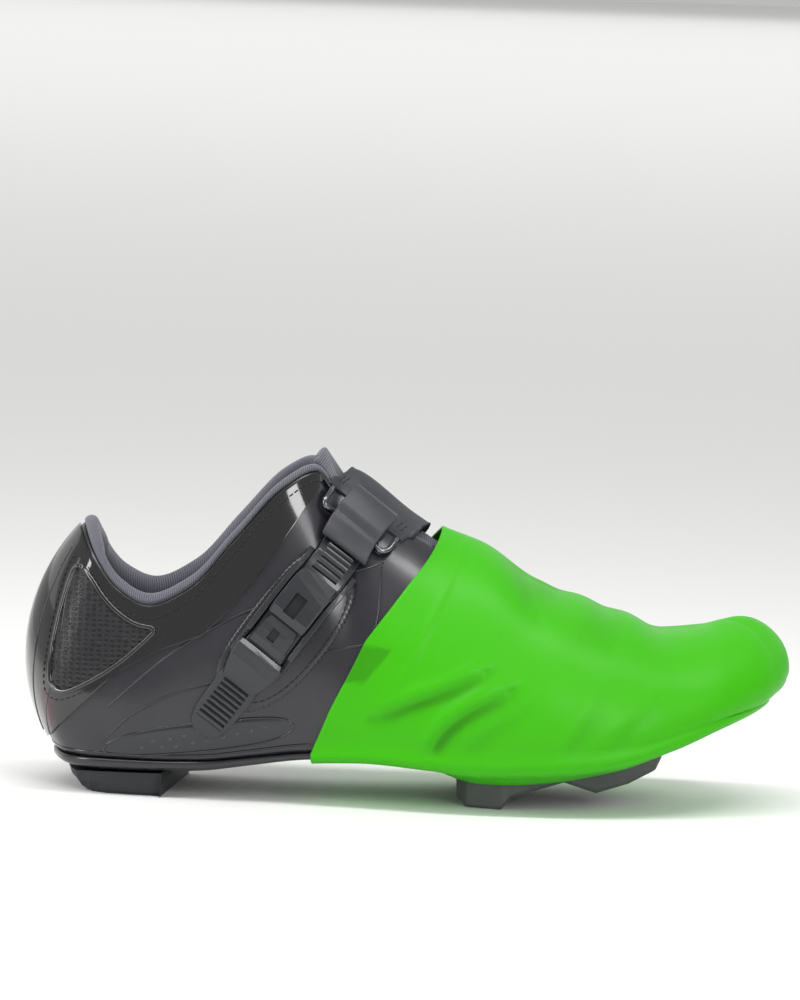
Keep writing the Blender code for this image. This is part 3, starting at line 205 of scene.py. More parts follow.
def throat_edge(station):
    """Level of the upper's edge: 1 on the collar and the closed vamp, less beside the throat."""
    s = np.abs(station)
    opened = ease((s - STATIONS[COLLAR_FRONT_ROW]) / (STATIONS[THROAT_TOP_ROW] - STATIONS[COLLAR_FRONT_ROW]))
    closing = ease((STATIONS[VAMP_ROW] - s) / (STATIONS[VAMP_ROW] - STATIONS[VAMP_ROW - 1]))
    return 1 - THROAT_WIDTH / 2 * opened * closing / (3 * along_rows("flare", station) * BALL_WIDTH)


print("last:", round(LAST_LENGTH / MM), "mm long, origin shift in mm", (SHIFT / MM).round(2))

# %% [markdown]
# ## Laying things on the last
# Seams, piping, patches and the buckle are easiest to describe from the side, as a maker draws them on
# the quarter: so far from the heel and so far above the floor. A ray cast sideways puts each such point
# on the form.

# %% Ray cast on a fine copy of the last
cast_stations = np.linspace(-1, 1, 361)
cast_grid = last_points(cast_stations[:, None], np.linspace(0, 1, 61)[None, :])


def grid_faces(rows, across, closed=False):
    """Faces between the points of a grid. A closed grid joins its last column to its first."""
    ends = range(across if closed else across - 1)
    corners = ((0, 0), (0, 1), (1, 1), (1, 0))
    return [
        tuple((i + a) * across + (j + b) % across for a, b in corners) for i in range(rows - 1) for j in ends
    ]


LAST_TREE = BVHTree.FromPolygons(
    [tuple(p) for p in cast_grid.reshape(-1, 3)], grid_faces(*cast_grid.shape[:2])
)


def lay_on_side(x_mm, z_mm, proud=0.0, side=-1):
    """Point on the outer (-1) or inner (1) side, so many mm from the heel and above the floor."""
    start = Vector((x_mm * MM + SHIFT[0], 0.2 * side, z_mm * MM))
    place, normal, _, _ = LAST_TREE.ray_cast(start, Vector((0, -side, 0)))
    if place is None:
        raise ValueError(f"nothing at {x_mm}, {z_mm}")
    if normal.y * side < 0:
        normal = -normal
    return np.array(place + normal * proud)


STRAP_SLOPE = math.radians(54.0)
STRAP_CROSSING = np.array([133.5 * MM + SHIFT[0], 0.0, 111.0 * MM])
STRAP_DOWN = np.array([-math.cos(STRAP_SLOPE), 0.0, -math.sin(STRAP_SLOPE)])
STRAP_ACROSS = np.array([math.sin(STRAP_SLOPE), 0.0, -math.cos(STRAP_SLOPE)])


def lay_beside_strap(down, across, proud):
    """Point on the outer side, in metres down the strap and across it."""
    place = STRAP_CROSSING + STRAP_DOWN * down + STRAP_ACROSS * across
    return lay_on_side((place[0] - SHIFT[0]) / MM, place[2] / MM, proud)


# %% [markdown]
# ## Small tools
# A few helpers keep the rest short. They turn a colour picked from the photograph into the linear values
# that Blender wants, add shader nodes, and make mesh pieces that ride on the shoe.

# %% Colour, node and piece helpers
def colour(code):
    """Linear colour of a hex sRGB code."""
    parts = [int(code[k:k + 2], 16) / 255 for k in (1, 3, 5)]
    linear = [c / 12.92 if c <= 0.04045 else ((c + 0.055) / 1.055) ** 2.4 for c in parts]
    return (*linear, 1.0)


def add_node(tree, kind, settings=(), **inputs):
    """Adds a shader node. A socket given as an input is linked, and a value is set."""
    node = tree.nodes.new(kind)
    for name, value in dict(settings).items():
        setattr(node, name, value)
    for name, value in inputs.items():
        socket = node.inputs[int(name[1:])] if name[1:].isdigit() else node.inputs[name.replace("_", " ")]
        if isinstance(value, bpy.types.NodeSocket):
            tree.links.new(value, socket)
        else:
            socket.default_value = value
    return node


def new_finish(name, base, roughness, **inputs):
    """A Principled material with its constant values on the shader's own sockets."""
    made = bpy.data.materials.new(name)
    made.use_nodes = True
    shader = made.node_tree.nodes["Principled BSDF"]
    shader.inputs["Base Color"].default_value = colour(base)
    shader.inputs["Roughness"].default_value = roughness
    for key, value in inputs.items():
        shader.inputs[key.replace("_", " ")].default_value = value
    return made, made.node_tree, shader


def place_in_mm(tree):
    """The object's own coordinates, in millimetres."""
    where = add_node(tree, "ShaderNodeTexCoord")
    return add_node(
        tree, "ShaderNodeVectorMath", {"operation": "SCALE"}, _0=where.outputs["Object"], Scale=1000.0
    ).outputs[0]


def mesh_piece(name, points, faces, finish, slot, stands_for=(), uv=None, merge=0.005 * MM):
    """A smooth mesh that rides on the shoe. uv gives each point its place in mm along and across, or on the
    latex cover its painted crease shade.
    """
    mesh = bpy.data.meshes.new(name)
    mesh.from_pydata([tuple(p) for p in np.asarray(points).reshape(-1, 3)], [], faces)
    if uv is not None:
        layer = mesh.uv_layers.new(name="run")
        flat = np.asarray(uv).reshape(-1, 2)
        for loop in mesh.loops:
            layer.data[loop.index].uv = flat[loop.vertex_index]
    work = bmesh.new()
    work.from_mesh(mesh)
    bmesh.ops.remove_doubles(work, verts=work.verts, dist=merge)
    work.to_mesh(mesh)
    work.free()
    mesh.shade_smooth()
    mesh.materials.append(finish)
    piece = bpy.data.objects.new(name, mesh)
    bpy.context.scene.collection.objects.link(piece)
    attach(piece, "root")
    if stands_for:
        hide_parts(*stands_for)
    return piece


def thicken(piece, thickness, outwards=True, rim=0.0, even=True):
    """Gives a sheet its thickness, and rounds its cut edge by rim."""
    wall = piece.modifiers.new("thickness", "SOLIDIFY")
    wall.thickness = thickness
    wall.offset = 1.0 if outwards else -1.0
    wall.use_even_offset = even
    if rim:
        edge = piece.modifiers.new("rim", "BEVEL")
        edge.width = rim
        edge.segments = 2
        edge.limit_method = "ANGLE"
        edge.angle_limit = math.radians(50)
    return piece


# %% [markdown]
# ## Camera
# The photograph was taken from the outer side with a long lens, a little above the floor. Its horizon
# is rolled by about two degrees, so the floor falls to the right. The scale in pixels for each
# millimetre and the pixel of the shoe's origin fix the lens and the aim.

# %% Camera at the photograph's angle
PHOTO_WIDTH, PHOTO_HEIGHT = 800, 1000
PIXELS_PER_MM = 2.67
ORIGIN_PIXEL = (404.0, 793.0)
CAMERA_ELEVATION = math.radians(6.0)
CAMERA_ROLL = math.radians(2.15)
CAMERA_DISTANCE = 1.9
view_way = np.array([0.0, math.cos(CAMERA_ELEVATION), -math.sin(CAMERA_ELEVATION)])
level_right = np.array([1.0, 0.0, 0.0])
level_up = np.cross(level_right, view_way)
camera_right = level_right * math.cos(CAMERA_ROLL) + level_up * math.sin(CAMERA_ROLL)
camera_up = level_up * math.cos(CAMERA_ROLL) - level_right * math.sin(CAMERA_ROLL)
aim = (
    camera_right * (PHOTO_WIDTH / 2 - ORIGIN_PIXEL[0]) / PIXELS_PER_MM
    + camera_up * (ORIGIN_PIXEL[1] - PHOTO_HEIGHT / 2) / PIXELS_PER_MM
) * MM
SENSOR = 24.0
lens = bpy.data.cameras.new("photo_camera")
lens.sensor_fit = "VERTICAL"
lens.sensor_height = SENSOR
lens.lens = PIXELS_PER_MM / MM * CAMERA_DISTANCE / PHOTO_HEIGHT * SENSOR
camera = bpy.data.objects.new("photo_camera", lens)
bpy.context.scene.collection.objects.link(camera)
turn = np.stack([camera_right, camera_up, -view_way], axis=1)
stand = aim - view_way * CAMERA_DISTANCE
camera.matrix_world = Matrix([(*turn[k], stand[k]) for k in range(3)] + [(0, 0, 0, 1)])
bpy.context.scene.camera = camera
print("lens", round(lens.lens, 1), "mm, aimed at", (aim / MM).round(1))

# %% [markdown]
# ## Studio
# The photograph is a cut-out on white, lit evenly with soft boxes. An even sky and three soft boxes give
# the same broad highlights on the patent leather, and a wide lamp far behind keeps the floor pale.

# %% Floor, sky and lights
floor_finish = new_finish("studio_floor", "#F4F4F2", 0.85)[0]
floor_mesh = bpy.data.meshes.new("studio_floor")
FLOOR_HALF = 60.0
floor_corners = [(a * FLOOR_HALF, b * FLOOR_HALF, 0) for a, b in ((-1, -1), (1, -1), (1, 1), (-1, 1))]
floor_mesh.from_pydata(floor_corners, [], [(0, 1, 2, 3)])
floor_mesh.materials.append(floor_finish)
floor = bpy.data.objects.new("studio_floor", floor_mesh)
bpy.context.scene.collection.objects.link(floor)
floor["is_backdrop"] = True
sky = bpy.data.worlds.new("studio_sky")
sky.use_nodes = True
sky.node_tree.nodes["Background"].inputs["Color"].default_value = colour("#FFFFFF")
sky.node_tree.nodes["Background"].inputs["Strength"].default_value = 0.5
bpy.context.scene.world = sky
# The plain transform keeps the latex as vivid as the photograph shows it
bpy.context.scene.view_settings.view_transform = "Standard"


def soft_box(name, place, target, size, power):
    lamp = bpy.data.lights.new(name, "AREA")
    lamp.shape = "RECTANGLE"
    lamp.size, lamp.size_y = size
    lamp.energy = power
    made = bpy.data.objects.new(name, lamp)
    made.location = place
    made.rotation_euler = (Vector(target) - Vector(place)).to_track_quat("-Z", "Y").to_euler()
    bpy.context.scene.collection.objects.link(made)


soft_box("top_box", (0.0, -0.25, 1.0), (0, 0, 0.06), (1.2, 0.16), 7.0)
soft_box("front_box", (0.5, -1.0, 0.55), (0.03, 0, 0.05), (0.3, 0.5), 4.0)
soft_box("heel_box", (-0.9, -0.4, 0.5), (-0.1, 0, 0.06), (0.2, 0.7), 3.5)
soft_box("floor_box", (0.0, 20.0, 6.0), (0, 20.0, 0), (40.0, 34.0), 2300.0)

# %% [markdown]
# ## Finishes
# Colours are picked from the photograph. The patterns have their real scale: a mesh hole is about
# 1.5 mm, a knit rib 1 mm, and the grain of the synthetic leather a few tenths of a millimetre.


# %% Bump from a pattern
def add_bump(tree, shader, height, depth, strength=1.0):
    """Raises the surface by a pattern: depth is the real height in metres."""
    bump = add_node(tree, "ShaderNodeBump", Height=height, Distance=depth, Strength=strength)
    tree.links.new(bump.outputs["Normal"], shader.inputs["Normal"])
    return bump


def noise_in_mm(tree, size, detail=2.0, where=None):
    """Noise whose features are about that many millimetres wide."""
    where = place_in_mm(tree) if where is None else where
    return add_node(
        tree, "ShaderNodeTexNoise", Vector=where, Scale=1.0 / size, Detail=detail, Roughness=0.55
    ).outputs[0]


def between(tree, share, low, high):
    """A colour that goes from one hex code to another."""
    ramp = add_node(tree, "ShaderNodeMix", {"data_type": "RGBA"}, _0=share, _6=colour(low), _7=colour(high))
    return ramp.outputs[2]


# %% Microfibre of the quarters: satin dark grey with a fine pebble grain
microfibre, tree, shader = new_finish("microfibre", "#1E1E24", 0.30, Coat_Weight=0.3, Coat_Roughness=0.15)
cloudy = noise_in_mm(tree, 14.0)
tree.links.new(between(tree, cloudy, "#1A1A1F", "#28282F"), shader.inputs["Base Color"])
add_bump(tree, shader, noise_in_mm(tree, 0.5, 3.0), 0.02 * MM, 0.5)

# %% Patent leather of the counter: black, mirror-like, with a slow ripple
patent, tree, shader = new_finish("patent", "#08080A", 0.12, Coat_Weight=0.8, Coat_Roughness=0.04)
add_bump(tree, shader, noise_in_mm(tree, 9.0, 1.0), 0.18 * MM, 0.5)

# %% Knit of the collar and tongue: grey rib knit with a soft sheen
knit, tree, shader = new_finish("knit", "#5C5C66", 0.9, Sheen_Weight=0.3)
run = add_node(tree, "ShaderNodeUVMap", {"uv_map": "run"}).outputs["UV"]
rib = add_node(
    tree, "ShaderNodeTexWave", {"bands_direction": "X"}, Vector=run, Scale=0.314 / 0.9, Distortion=1.2,
    Detail=1.0, Detail_Scale=2.0,
).outputs["Fac"]
tree.links.new(between(tree, rib, "#3E3E47", "#6B6B76"), shader.inputs["Base Color"])
add_bump(tree, shader, rib, 0.12 * MM, 0.8)

# %% Ankle mesh: black, with oval holes in staggered rows
ankle_mesh, tree, shader = new_finish("ankle_mesh", "#141416", 0.42)
run = add_node(tree, "ShaderNodeUVMap", {"uv_map": "run"}).outputs["UV"]
stretched = add_node(
    tree, "ShaderNodeVectorMath", {"operation": "MULTIPLY"}, _0=run, _1=(0.40, 0.56, 1.0)
).outputs[0]
holes = add_node(
    tree, "ShaderNodeTexVoronoi", {"feature": "F1"}, Vector=stretched, Scale=1.0, Randomness=0.25
).outputs["Distance"]
solid_part = add_node(
    tree, "ShaderNodeMapRange", {"interpolation_type": "SMOOTHSTEP"},
    Value=holes, From_Min=0.26, From_Max=0.44,
).outputs[0]
tree.links.new(between(tree, solid_part, "#000000", "#1C1C20"), shader.inputs["Base Color"])
add_bump(tree, shader, solid_part, 0.45 * MM, 1.0)

# %% Strap: matte dark grey microfibre with a finer grain
strap_finish, tree, shader = new_finish("strap", "#2C2D34", 0.45)
tree.links.new(between(tree, noise_in_mm(tree, 8.0), "#27282E", "#33343B"), shader.inputs["Base Color"])
add_bump(tree, shader, noise_in_mm(tree, 0.35, 2.0), 0.02 * MM, 0.6)

# %% Moulded plastics and rubber
# Buckle: glass-filled nylon with a fine spark-eroded grain. Cleat: the same, scuffed by walking. Sole:
# lacquered composite. Heel pad: moulded rubber, matte.
buckle_plastic, tree, shader = new_finish("buckle_plastic", "#202226", 0.28, Coat_Weight=0.3)
add_bump(tree, shader, noise_in_mm(tree, 1.2, 3.0), 0.015 * MM, 0.4)
cleat_plastic, tree, shader = new_finish("cleat_plastic", "#4B4B4D", 0.48)
tree.links.new(between(tree, noise_in_mm(tree, 6.0, 4.0), "#434345", "#565658"), shader.inputs["Base Color"])
add_bump(tree, shader, noise_in_mm(tree, 0.6, 4.0), 0.04 * MM, 0.6)
sole_composite, tree, shader = new_finish("sole_composite", "#1A1A1E", 0.28, Coat_Weight=0.4)
heel_rubber, tree, shader = new_finish("heel_rubber", "#202328", 0.6)
add_bump(tree, shader, noise_in_mm(tree, 0.5, 3.0), 0.03 * MM, 0.7)

# %% Metals: bent and polished steel wire, and zinc-plated steel bolts
ring_metal, tree, shader = new_finish("ring_metal", "#6A6C72", 0.22, Metallic=1.0)
bolt_steel, tree, shader = new_finish("bolt_steel", "#8F9094", 0.35, Metallic=1.0)

# %% Insole cloth, thread and dimple paint: black fabric, waxed black thread, smooth grey dots
insole_fabric, tree, shader = new_finish("insole_fabric", "#26262A", 0.9, Sheen_Weight=0.2)
add_bump(tree, shader, noise_in_mm(tree, 0.8, 3.0), 0.05 * MM, 0.8)
thread, tree, shader = new_finish("thread", "#0C0C0E", 0.6)
piping, tree, shader = new_finish("piping", "#3A3A40", 0.3, Coat_Weight=0.3)

# %% Latex: bright green, satin, with painted shade that darkens it where it creases
latex, tree, shader = new_finish("latex", "#38A800", 0.42, Specular_IOR_Level=0.22)
shade = add_node(tree, "ShaderNodeUVMap", {"uv_map": "run"}).outputs["UV"]
painted_shade = add_node(tree, "ShaderNodeSeparateXYZ", Vector=shade).outputs["X"]
# The darker green is painted shade, mixed in by the crease shade in the first coordinate of the uv layer run
tree.links.new(between(tree, painted_shade, "#3AAC00", "#236A00"), shader.inputs["Base Color"])
add_bump(tree, shader, noise_in_mm(tree, 2.5, 2.0), 0.03 * MM, 0.4)
print("finishes:", len(bpy.data.materials))

# %% [markdown]
# ## Upper
# The upper is one wall, pulled over the last and open at the collar and throat. It is a grid over the
# last with many more ribs than the solid, given its thickness inwards.


# %% Grid round the shoe
def stations_upto(last, count):
    """Even stations from one side round the heel to the other."""
    one = np.linspace(0, last, count)
    return np.concatenate([-one[:0:-1], one])


def run_of(points):
    """Lengths in mm along the two directions of a grid of points."""
    along = np.linalg.norm(np.diff(points, axis=0), axis=-1).mean(axis=1)
    along = np.concatenate([[0.0], np.cumsum(along)])
    across = np.linalg.norm(np.diff(points, axis=1), axis=-1)
    across = np.concatenate([np.zeros((len(points), 1)), np.cumsum(across, axis=1)], axis=1)
    return np.stack([np.broadcast_to(along[:, None], across.shape), across], -1) / MM


UPPER_WALL = 2.0 * MM
stations = stations_upto(1.0, 170)
levels = np.linspace(0, 1, 60)[None, :] * throat_edge(stations)[:, None]
grid = last_points(stations[:, None], levels)
upper = mesh_piece(
    "upper_shell", grid, grid_faces(*grid.shape[:2]), microfibre, "microfibre", ["upper"], run_of(grid),
    merge=0.02 * MM,
)
thicken(upper, UPPER_WALL, outwards=False)
print("upper:", len(upper.data.polygons), "faces")

# %% [markdown]
# ## Latex cover
# The sleeve hugs the shoe, bridges its hollows and stands up over the straps that it hides. Its rear
# edge slants from the instep down to the arch. Below, it wraps the sole and has a hole for the cleat.

# %% Where the cover's rear edge runs, and what lifts the latex
COVER_LIFT = 0.9 * MM
COVER_EDGE = np.array(
    [(0.366, 0.000), (0.373, 0.132), (0.401, 0.295), (0.444, 0.507), (0.486, 0.661), (0.545, 0.855)]
) * (LAST_LENGTH, INSTEP_HEIGHT)
# Each row: share of the length, height, half length, share of the wall down to which it fades
LIFT_ROWS = (
    (0.586, 4.0 * MM, 22.0 * MM, 0.34),
    (0.690, -0.4 * MM, 8.0 * MM, 0.48),
    (0.723, 0.7 * MM, 9.0 * MM, 0.48),
    (0.784, 1.4 * MM, 10.0 * MM, 0.50),
)


def lift_over_straps(along, level):
    total = np.zeros(np.broadcast(along, level).shape)
    for place, height, half, fade in LIFT_ROWS:
        near = np.clip(1 - np.abs((along - place * LAST_LENGTH) / half), 0, 1)
        total = total + height * ease(near) * ease((level - fade) / (1 - fade))
    return total


def cover_edge(levels):
    tries = np.linspace(STATIONS[5], STATIONS[VAMP_ROW], 300)
    found = []
    for level in levels:
        place = wall_curve(tries, np.full(tries.shape, level))
        edge_x = np.interp(place[:, 2], COVER_EDGE[:, 1], COVER_EDGE[:, 0])
        found.append(np.interp(0.0, place[:, 0] - edge_x, tries))
    return np.array(found)


# %% Height of the sole under any place
side_stations = np.linspace(0, 1, 201)
feather = ribs(side_stations)[0]
plate = along_rows("plate", side_stations) * INSTEP_HEIGHT
FIT_GAP = 0.35 * MM


def sole_height(x, depth, gap=FIT_GAP):
    """Height of the sole at x: depth 0 is its top and depth 1 its underside."""
    x = x - SHIFT[0]
    return np.interp(x, feather[:, 0], feather[:, 2]) - gap - depth * np.interp(x, feather[:, 0], plate)


def beside_sole(station, out, depth):
    foot, _, _, _, outward = ribs(station)
    place = foot + outward * out + SHIFT
    place[..., 2] = sole_height(place[..., 0], depth)
    return place


# %% Skin of the cover
SOLE_ROUND = 6.0 * MM
cover_levels = np.concatenate([np.linspace(1.0, 0.04, 90), [0.0]])
rear = cover_edge(cover_levels)
share = np.linspace(0, 1, 200)[:, None]
cover_stations = rear[None, :] + (1 - rear[None, :]) * share
# Rim of the cleat opening: mm from the heel, and half its width there
HOLE_ROWS = (
    (155.0, 0.0), (157.0, 22.0), (161.0, 27.5), (168.0, 31.5), (178.0, 34.5), (190.0, 34.0), (202.0, 30.0),
    (213.0, 25.5), (225.0, 20.5), (236.0, 16.5), (240.0, 13.0), (241.5, 0.0),
)


# %% Creases of the latex
# The sunk side of a fold and a dent also get painted shade in the latex colour
# Each is drawn in the side view in mm from the heel and above the floor. A fold lifts the latex on its
# upper side and sinks it on the other, and a ridge or a dent does one of the two.
# Each row: kind, height and reach in mm, and the line that it follows
CREASES = (
    ("fold", 1.15, 3.2, ((131.0, 35.5), (143.8, 41.2), (153.9, 45.0), (168.0, 52.0))),
    ("fold", 1.30, 3.4, ((148.9, 18.0), (151.9, 27.9), (160.9, 37.2), (177.0, 45.5))),
    ("fold", 0.30, 4.0, ((160.0, 22.0), (168.0, 31.0), (182.0, 39.0))),
    ("fold", 0.30, 3.6, ((194.0, 19.5), (202.0, 29.8), (209.0, 41.0))),
    ("fold", 0.22, 3.6, ((212.0, 24.0), (221.0, 34.0), (230.0, 42.0))),
    ("ridge", 0.50, 1.3, ((163.5, 101.0), (151.0, 73.0), (137.9, 44.4))),
    ("ridge", 0.45, 2.2, ((160.0, 13.5), (188.0, 15.8), (222.0, 18.6), (238.0, 21.0))),
    ("fold", 0.55, 2.6, ((262.0, 35.5), (270.0, 38.6), (276.0, 42.5), (282.0, 49.0))),
    ("dent", 1.10, 6.5, ((187.0, 84.5), (190.5, 81.5), (197.0, 80.0))),
    ("dent", 0.55, 7.0, ((205.0, 69.0), (219.0, 62.0))),
    ("fold", 0.35, 5.0, ((176.0, 92.0), (184.0, 84.0), (188.0, 74.0))),
)
# Painted shadow: a darker patch by the fold, where the thin latex lies on the patent leather below it
SHADOW_PATCH_CORNERS = ((112.0, 61.5), (136.5, 59.5), (126.0, 46.0), (112.0, 46.0))
SHADOW_PATCH_EDGE = 1.0


def beside_line(x, z, points):
    """Distance in mm to a line of the side view, above it positive, and how near its ends that is."""
    line = np.asarray(points, float)
    for _ in range(3):
        cut = np.stack([0.75 * line[:-1] + 0.25 * line[1:], 0.25 * line[:-1] + 0.75 * line[1:]], axis=1)
        line = np.concatenate([line[:1], cut.reshape(-1, 2), line[-1:]])
    steps = np.diff(line, axis=0)
    best, signed, along = np.full(x.shape, np.inf), np.zeros(x.shape), np.zeros(x.shape)
    for k, (start, step) in enumerate(zip(line[:-1], steps)):
        off_x, off_z = x - start[0], z - start[1]
        share = np.clip((off_x * step[0] + off_z * step[1]) / (step @ step), 0, 1)
        gap = np.hypot(off_x - share * step[0], off_z - share * step[1])
        nearer = gap < best
        turn = np.sign(step[0] * off_z - step[1] * off_x) * (1 if steps[0][0] > 0 else -1)
        best = np.where(nearer, gap, best)
        signed = np.where(nearer, gap * turn, signed)
        along = np.where(nearer, (k + share) / len(steps), along)
    return signed, np.sin(np.pi * np.clip(along, 0.04, 0.96)) ** 0.6


def creased(place, side):
    """Height of the creases in metres, and the painted shade of the latex, at places on one side."""
    x = (place[..., 0] - SHIFT[0]) / MM - (5.0 if side > 0 else 0.0)
    z = place[..., 2] / MM
    height, painted_shade = np.zeros(x.shape), np.zeros(x.shape)
    for kind, tall, reach, points in CREASES:
        gap, strength = beside_line(x, z, points)
        near = np.exp(-((gap / reach) ** 2))
        if kind == "fold":
            swing = gap / reach * near * 2.3
            height += tall * strength * swing
            # The sunk side of a fold gets painted shade
            painted_shade += 0.55 * tall * strength * np.clip(-swing, 0, 1)
        elif kind == "ridge":
            height += tall * strength * near
        else:
            height -= tall * strength * near
            # A dent gets painted shade
            painted_shade += 0.22 * tall * strength * near
    # Painted shadow patch, on the outer side only
    if side < 0:
        inside = np.full(x.shape, np.inf)
        for start, end in zip(SHADOW_PATCH_CORNERS, SHADOW_PATCH_CORNERS[1:] + SHADOW_PATCH_CORNERS[:1]):
            run_x, run_z = end[0] - start[0], end[1] - start[1]
            off = (run_z * (x - start[0]) - run_x * (z - start[1])) / math.hypot(run_x, run_z)
            inside = np.minimum(inside, off)
        painted_shade += 0.5 * ease(inside / SHADOW_PATCH_EDGE)
    wobble = 0.16 * np.sin(x / 5.1 + z / 9.0) * np.sin(x / 11.0 - z / 6.0 + 1.0)
    return (height * (1.0 if side < 0 else 0.8) + wobble) * MM, np.clip(painted_shade, 0, 1)


# %% Both sides of the skin
def cover_side(side):
    x = wall_curve(cover_stations, np.broadcast_to(cover_levels, cover_stations.shape))[..., 0]
    level = cover_levels[None, :]
    raised, painted_shade = creased(last_points(side * cover_stations, level), side)
    fade = ease((1 - level) / 0.06) * ease(level / 0.08)
    lift = COVER_LIFT + lift_over_straps(x, cover_levels) + np.maximum(raised * fade, -0.5 * MM)
    skin = last_points(side * cover_stations, cover_levels, lift)
    shades.append(painted_shade)
    low = side * cover_stations[:, -1]
    rows = []
    for out, depth in ((1.7 * MM, 0.0), (2.0 * MM, 0.15), (2.0 * MM, 0.30), (1.4 * MM, 0.43),
                       (0.2 * MM, 0.56), (-2.0 * MM, 0.65), (-SOLE_ROUND, 0.74)):
        row = beside_sole(low, out, depth)
        row[:, 2] -= depth * 1.1 * MM
        rows.append(row)
    return [*(skin[:, j] for j in range(len(cover_levels) - 1)), *rows]


shades = []
outer_rows, inner_rows = cover_side(-1), cover_side(1)
outer_rows[0] = inner_rows[0] = (outer_rows[0] + inner_rows[0]) / 2
hole_x, hole_half = np.array(HOLE_ROWS).T


def under_rows(edge, other):
    """Rows on the underside from the sole's edge in to the hole, or to the middle where there is none."""
    middle_y = (edge[:, 1] + other[:, 1]) / 2
    at_x = (edge[:, 0] - SHIFT[0]) / MM
    half = np.interp(at_x, hole_x, hole_half, left=0.0, right=0.0) * MM
    side = np.sign(edge[:, 1] - other[:, 1])
    stop = np.where(half > 0, side * half, middle_y)
    stop = np.where(side * (edge[:, 1] - stop) < 0, edge[:, 1], stop)
    rows = []
    for t in np.linspace(0.12, 1.0, 10):
        row = edge.copy()
        row[:, 0] = edge[:, 0] + ((edge[:, 0] + other[:, 0]) / 2 - edge[:, 0]) * t * 0.5
        row[:, 1] = edge[:, 1] + (stop - edge[:, 1]) * t
        deep = 0.74 + 0.26 * ease(t * 1.3)
        row[:, 2] = sole_height(row[:, 0], deep) - 1.3 * MM
        rows.append(row)
    return rows


outer_rows += under_rows(outer_rows[-1], inner_rows[-1])
inner_rows += under_rows(inner_rows[-1], outer_rows[-1])
cover_grid = np.stack([*outer_rows[::-1], *inner_rows[1:]], axis=1)
bare = np.zeros((len(cover_stations), len(outer_rows) - len(cover_levels) + 1))
outer_shade, inner_shade = (np.concatenate([shade[:, :-1], bare], axis=1) for shade in shades)
shade_grid = np.concatenate([outer_shade[:, ::-1], inner_shade[:, 1:]], axis=1)
# The uv layer run carries the painted crease shade, and the rows under the sole get none
cover = mesh_piece(
    "latex_cover", cover_grid, [f[::-1] for f in grid_faces(*cover_grid.shape[:2])], latex, "latex",
    ["toe_cover"], np.stack([shade_grid, shade_grid], axis=-1), merge=0.03 * MM,
)
thicken(cover, 0.8 * MM, outwards=True, even=False)
print("cover:", len(cover.data.polygons), "faces")
# %% [markdown]
# ## Sewing tools
# Seams, piping and wires are a small profile carried along a path. Stitches are short bars of thread laid
# on the same kind of path. A panel is filled from its middle out to its outline, so its edge is exact.


# %% Paths, swept profiles and stitches
def even_path(points, step):
    """Points at even steps along a path."""
    points = np.asarray(points, float)
    walked = np.concatenate([[0.0], np.cumsum(np.linalg.norm(np.diff(points, axis=0), axis=1))])
    count = max(2, round(walked[-1] / step) + 1)
    at = np.linspace(0, walked[-1], count)
    return np.stack([np.interp(at, walked, axis) for axis in points.T], axis=1)


def rounded(points, rounds=3, closed=True):
    """Cuts the corners of a line again and again, until it bends smoothly."""
    points = np.asarray(points, float)
    for _ in range(rounds):
        after = np.roll(points, -1, axis=0) if closed else points[1:]
        before = points if closed else points[:-1]
        cut = np.stack([0.75 * before + 0.25 * after, 0.25 * before + 0.75 * after], axis=1)
        cut = cut.reshape(-1, points.shape[1])
        points = cut if closed else np.concatenate([points[:1], cut, points[-1:]])
    return points


def side_path(points_mm, step=1.0, side=-1, closed=False, rounds=3):
    """Places on the shoe, and the ways out of it, along a line drawn in the side view in mm."""
    line = rounded(points_mm, rounds, closed)
    if closed:
        line = np.concatenate([line, line[:1]])
    line = even_path(line, step)
    low = np.array([lay_on_side(x, z, 0.0, side) for x, z in line])
    high = np.array([lay_on_side(x, z, 1 * MM, side) for x, z in line])
    return low, (high - low) / MM


def swept(path, out, profile, loop=False):
    """A profile of (across, out) points carried along a path, with closed ends."""
    profile = np.asarray(profile, float)
    along = np.gradient(path, axis=0)
    if loop:
        along[0] = along[-1] = path[1] - path[-2]
    along /= np.linalg.norm(along, axis=1, keepdims=True)
    side = np.cross(along, out)
    side /= np.linalg.norm(side, axis=1, keepdims=True)
    up = np.cross(side, along)
    rings = path[:, None] + side[:, None] * profile[None, :, :1] + up[:, None] * profile[None, :, 1:]
    return rings, capped_faces(*rings.shape[:2])


def capped_faces(count, size):
    faces = grid_faces(count, size, closed=True)
    return [*faces, tuple(range(size))[::-1], tuple((count - 1) * size + j for j in range(size))]


def round_profile(width, height, sides=10, sunk=0.0):
    turn = np.linspace(0, 2 * np.pi, sides, endpoint=False)
    return np.stack([np.cos(turn) * width / 2, np.sin(turn) * height / 2 - sunk], axis=1)


def joined(parts):
    """Several (points, faces) made into one."""
    points, faces, total = [], [], 0
    for some, rings in parts:
        some = np.asarray(some).reshape(-1, 3)
        points.append(some)
        faces += [tuple(k + total for k in f) for f in rings]
        total += len(some)
    return np.concatenate(points), faces


def stitch_row(path, out, lift, length=2.2 * MM, gap=0.9 * MM, width=0.55 * MM):
    """Bars of thread along a path, each bent down into the leather at its ends."""
    walked = np.concatenate([[0.0], np.cumsum(np.linalg.norm(np.diff(path, axis=0), axis=1))])

    def at(distance):
        place = np.array([np.interp(distance, walked, axis) for axis in path.T]).T
        way = np.array([np.interp(distance, walked, axis) for axis in out.T]).T
        return place, way

    bars = []
    for start in np.arange(gap, walked[-1] - length, length + gap):
        place, way = at(np.linspace(start, start + length, 5))
        arch = np.array([-0.25, 0.2, 0.3, 0.2, -0.25])[:, None] * width
        bars.append(swept(place + way * (lift + arch), way, round_profile(width, width, 6)))
    return joined(bars)


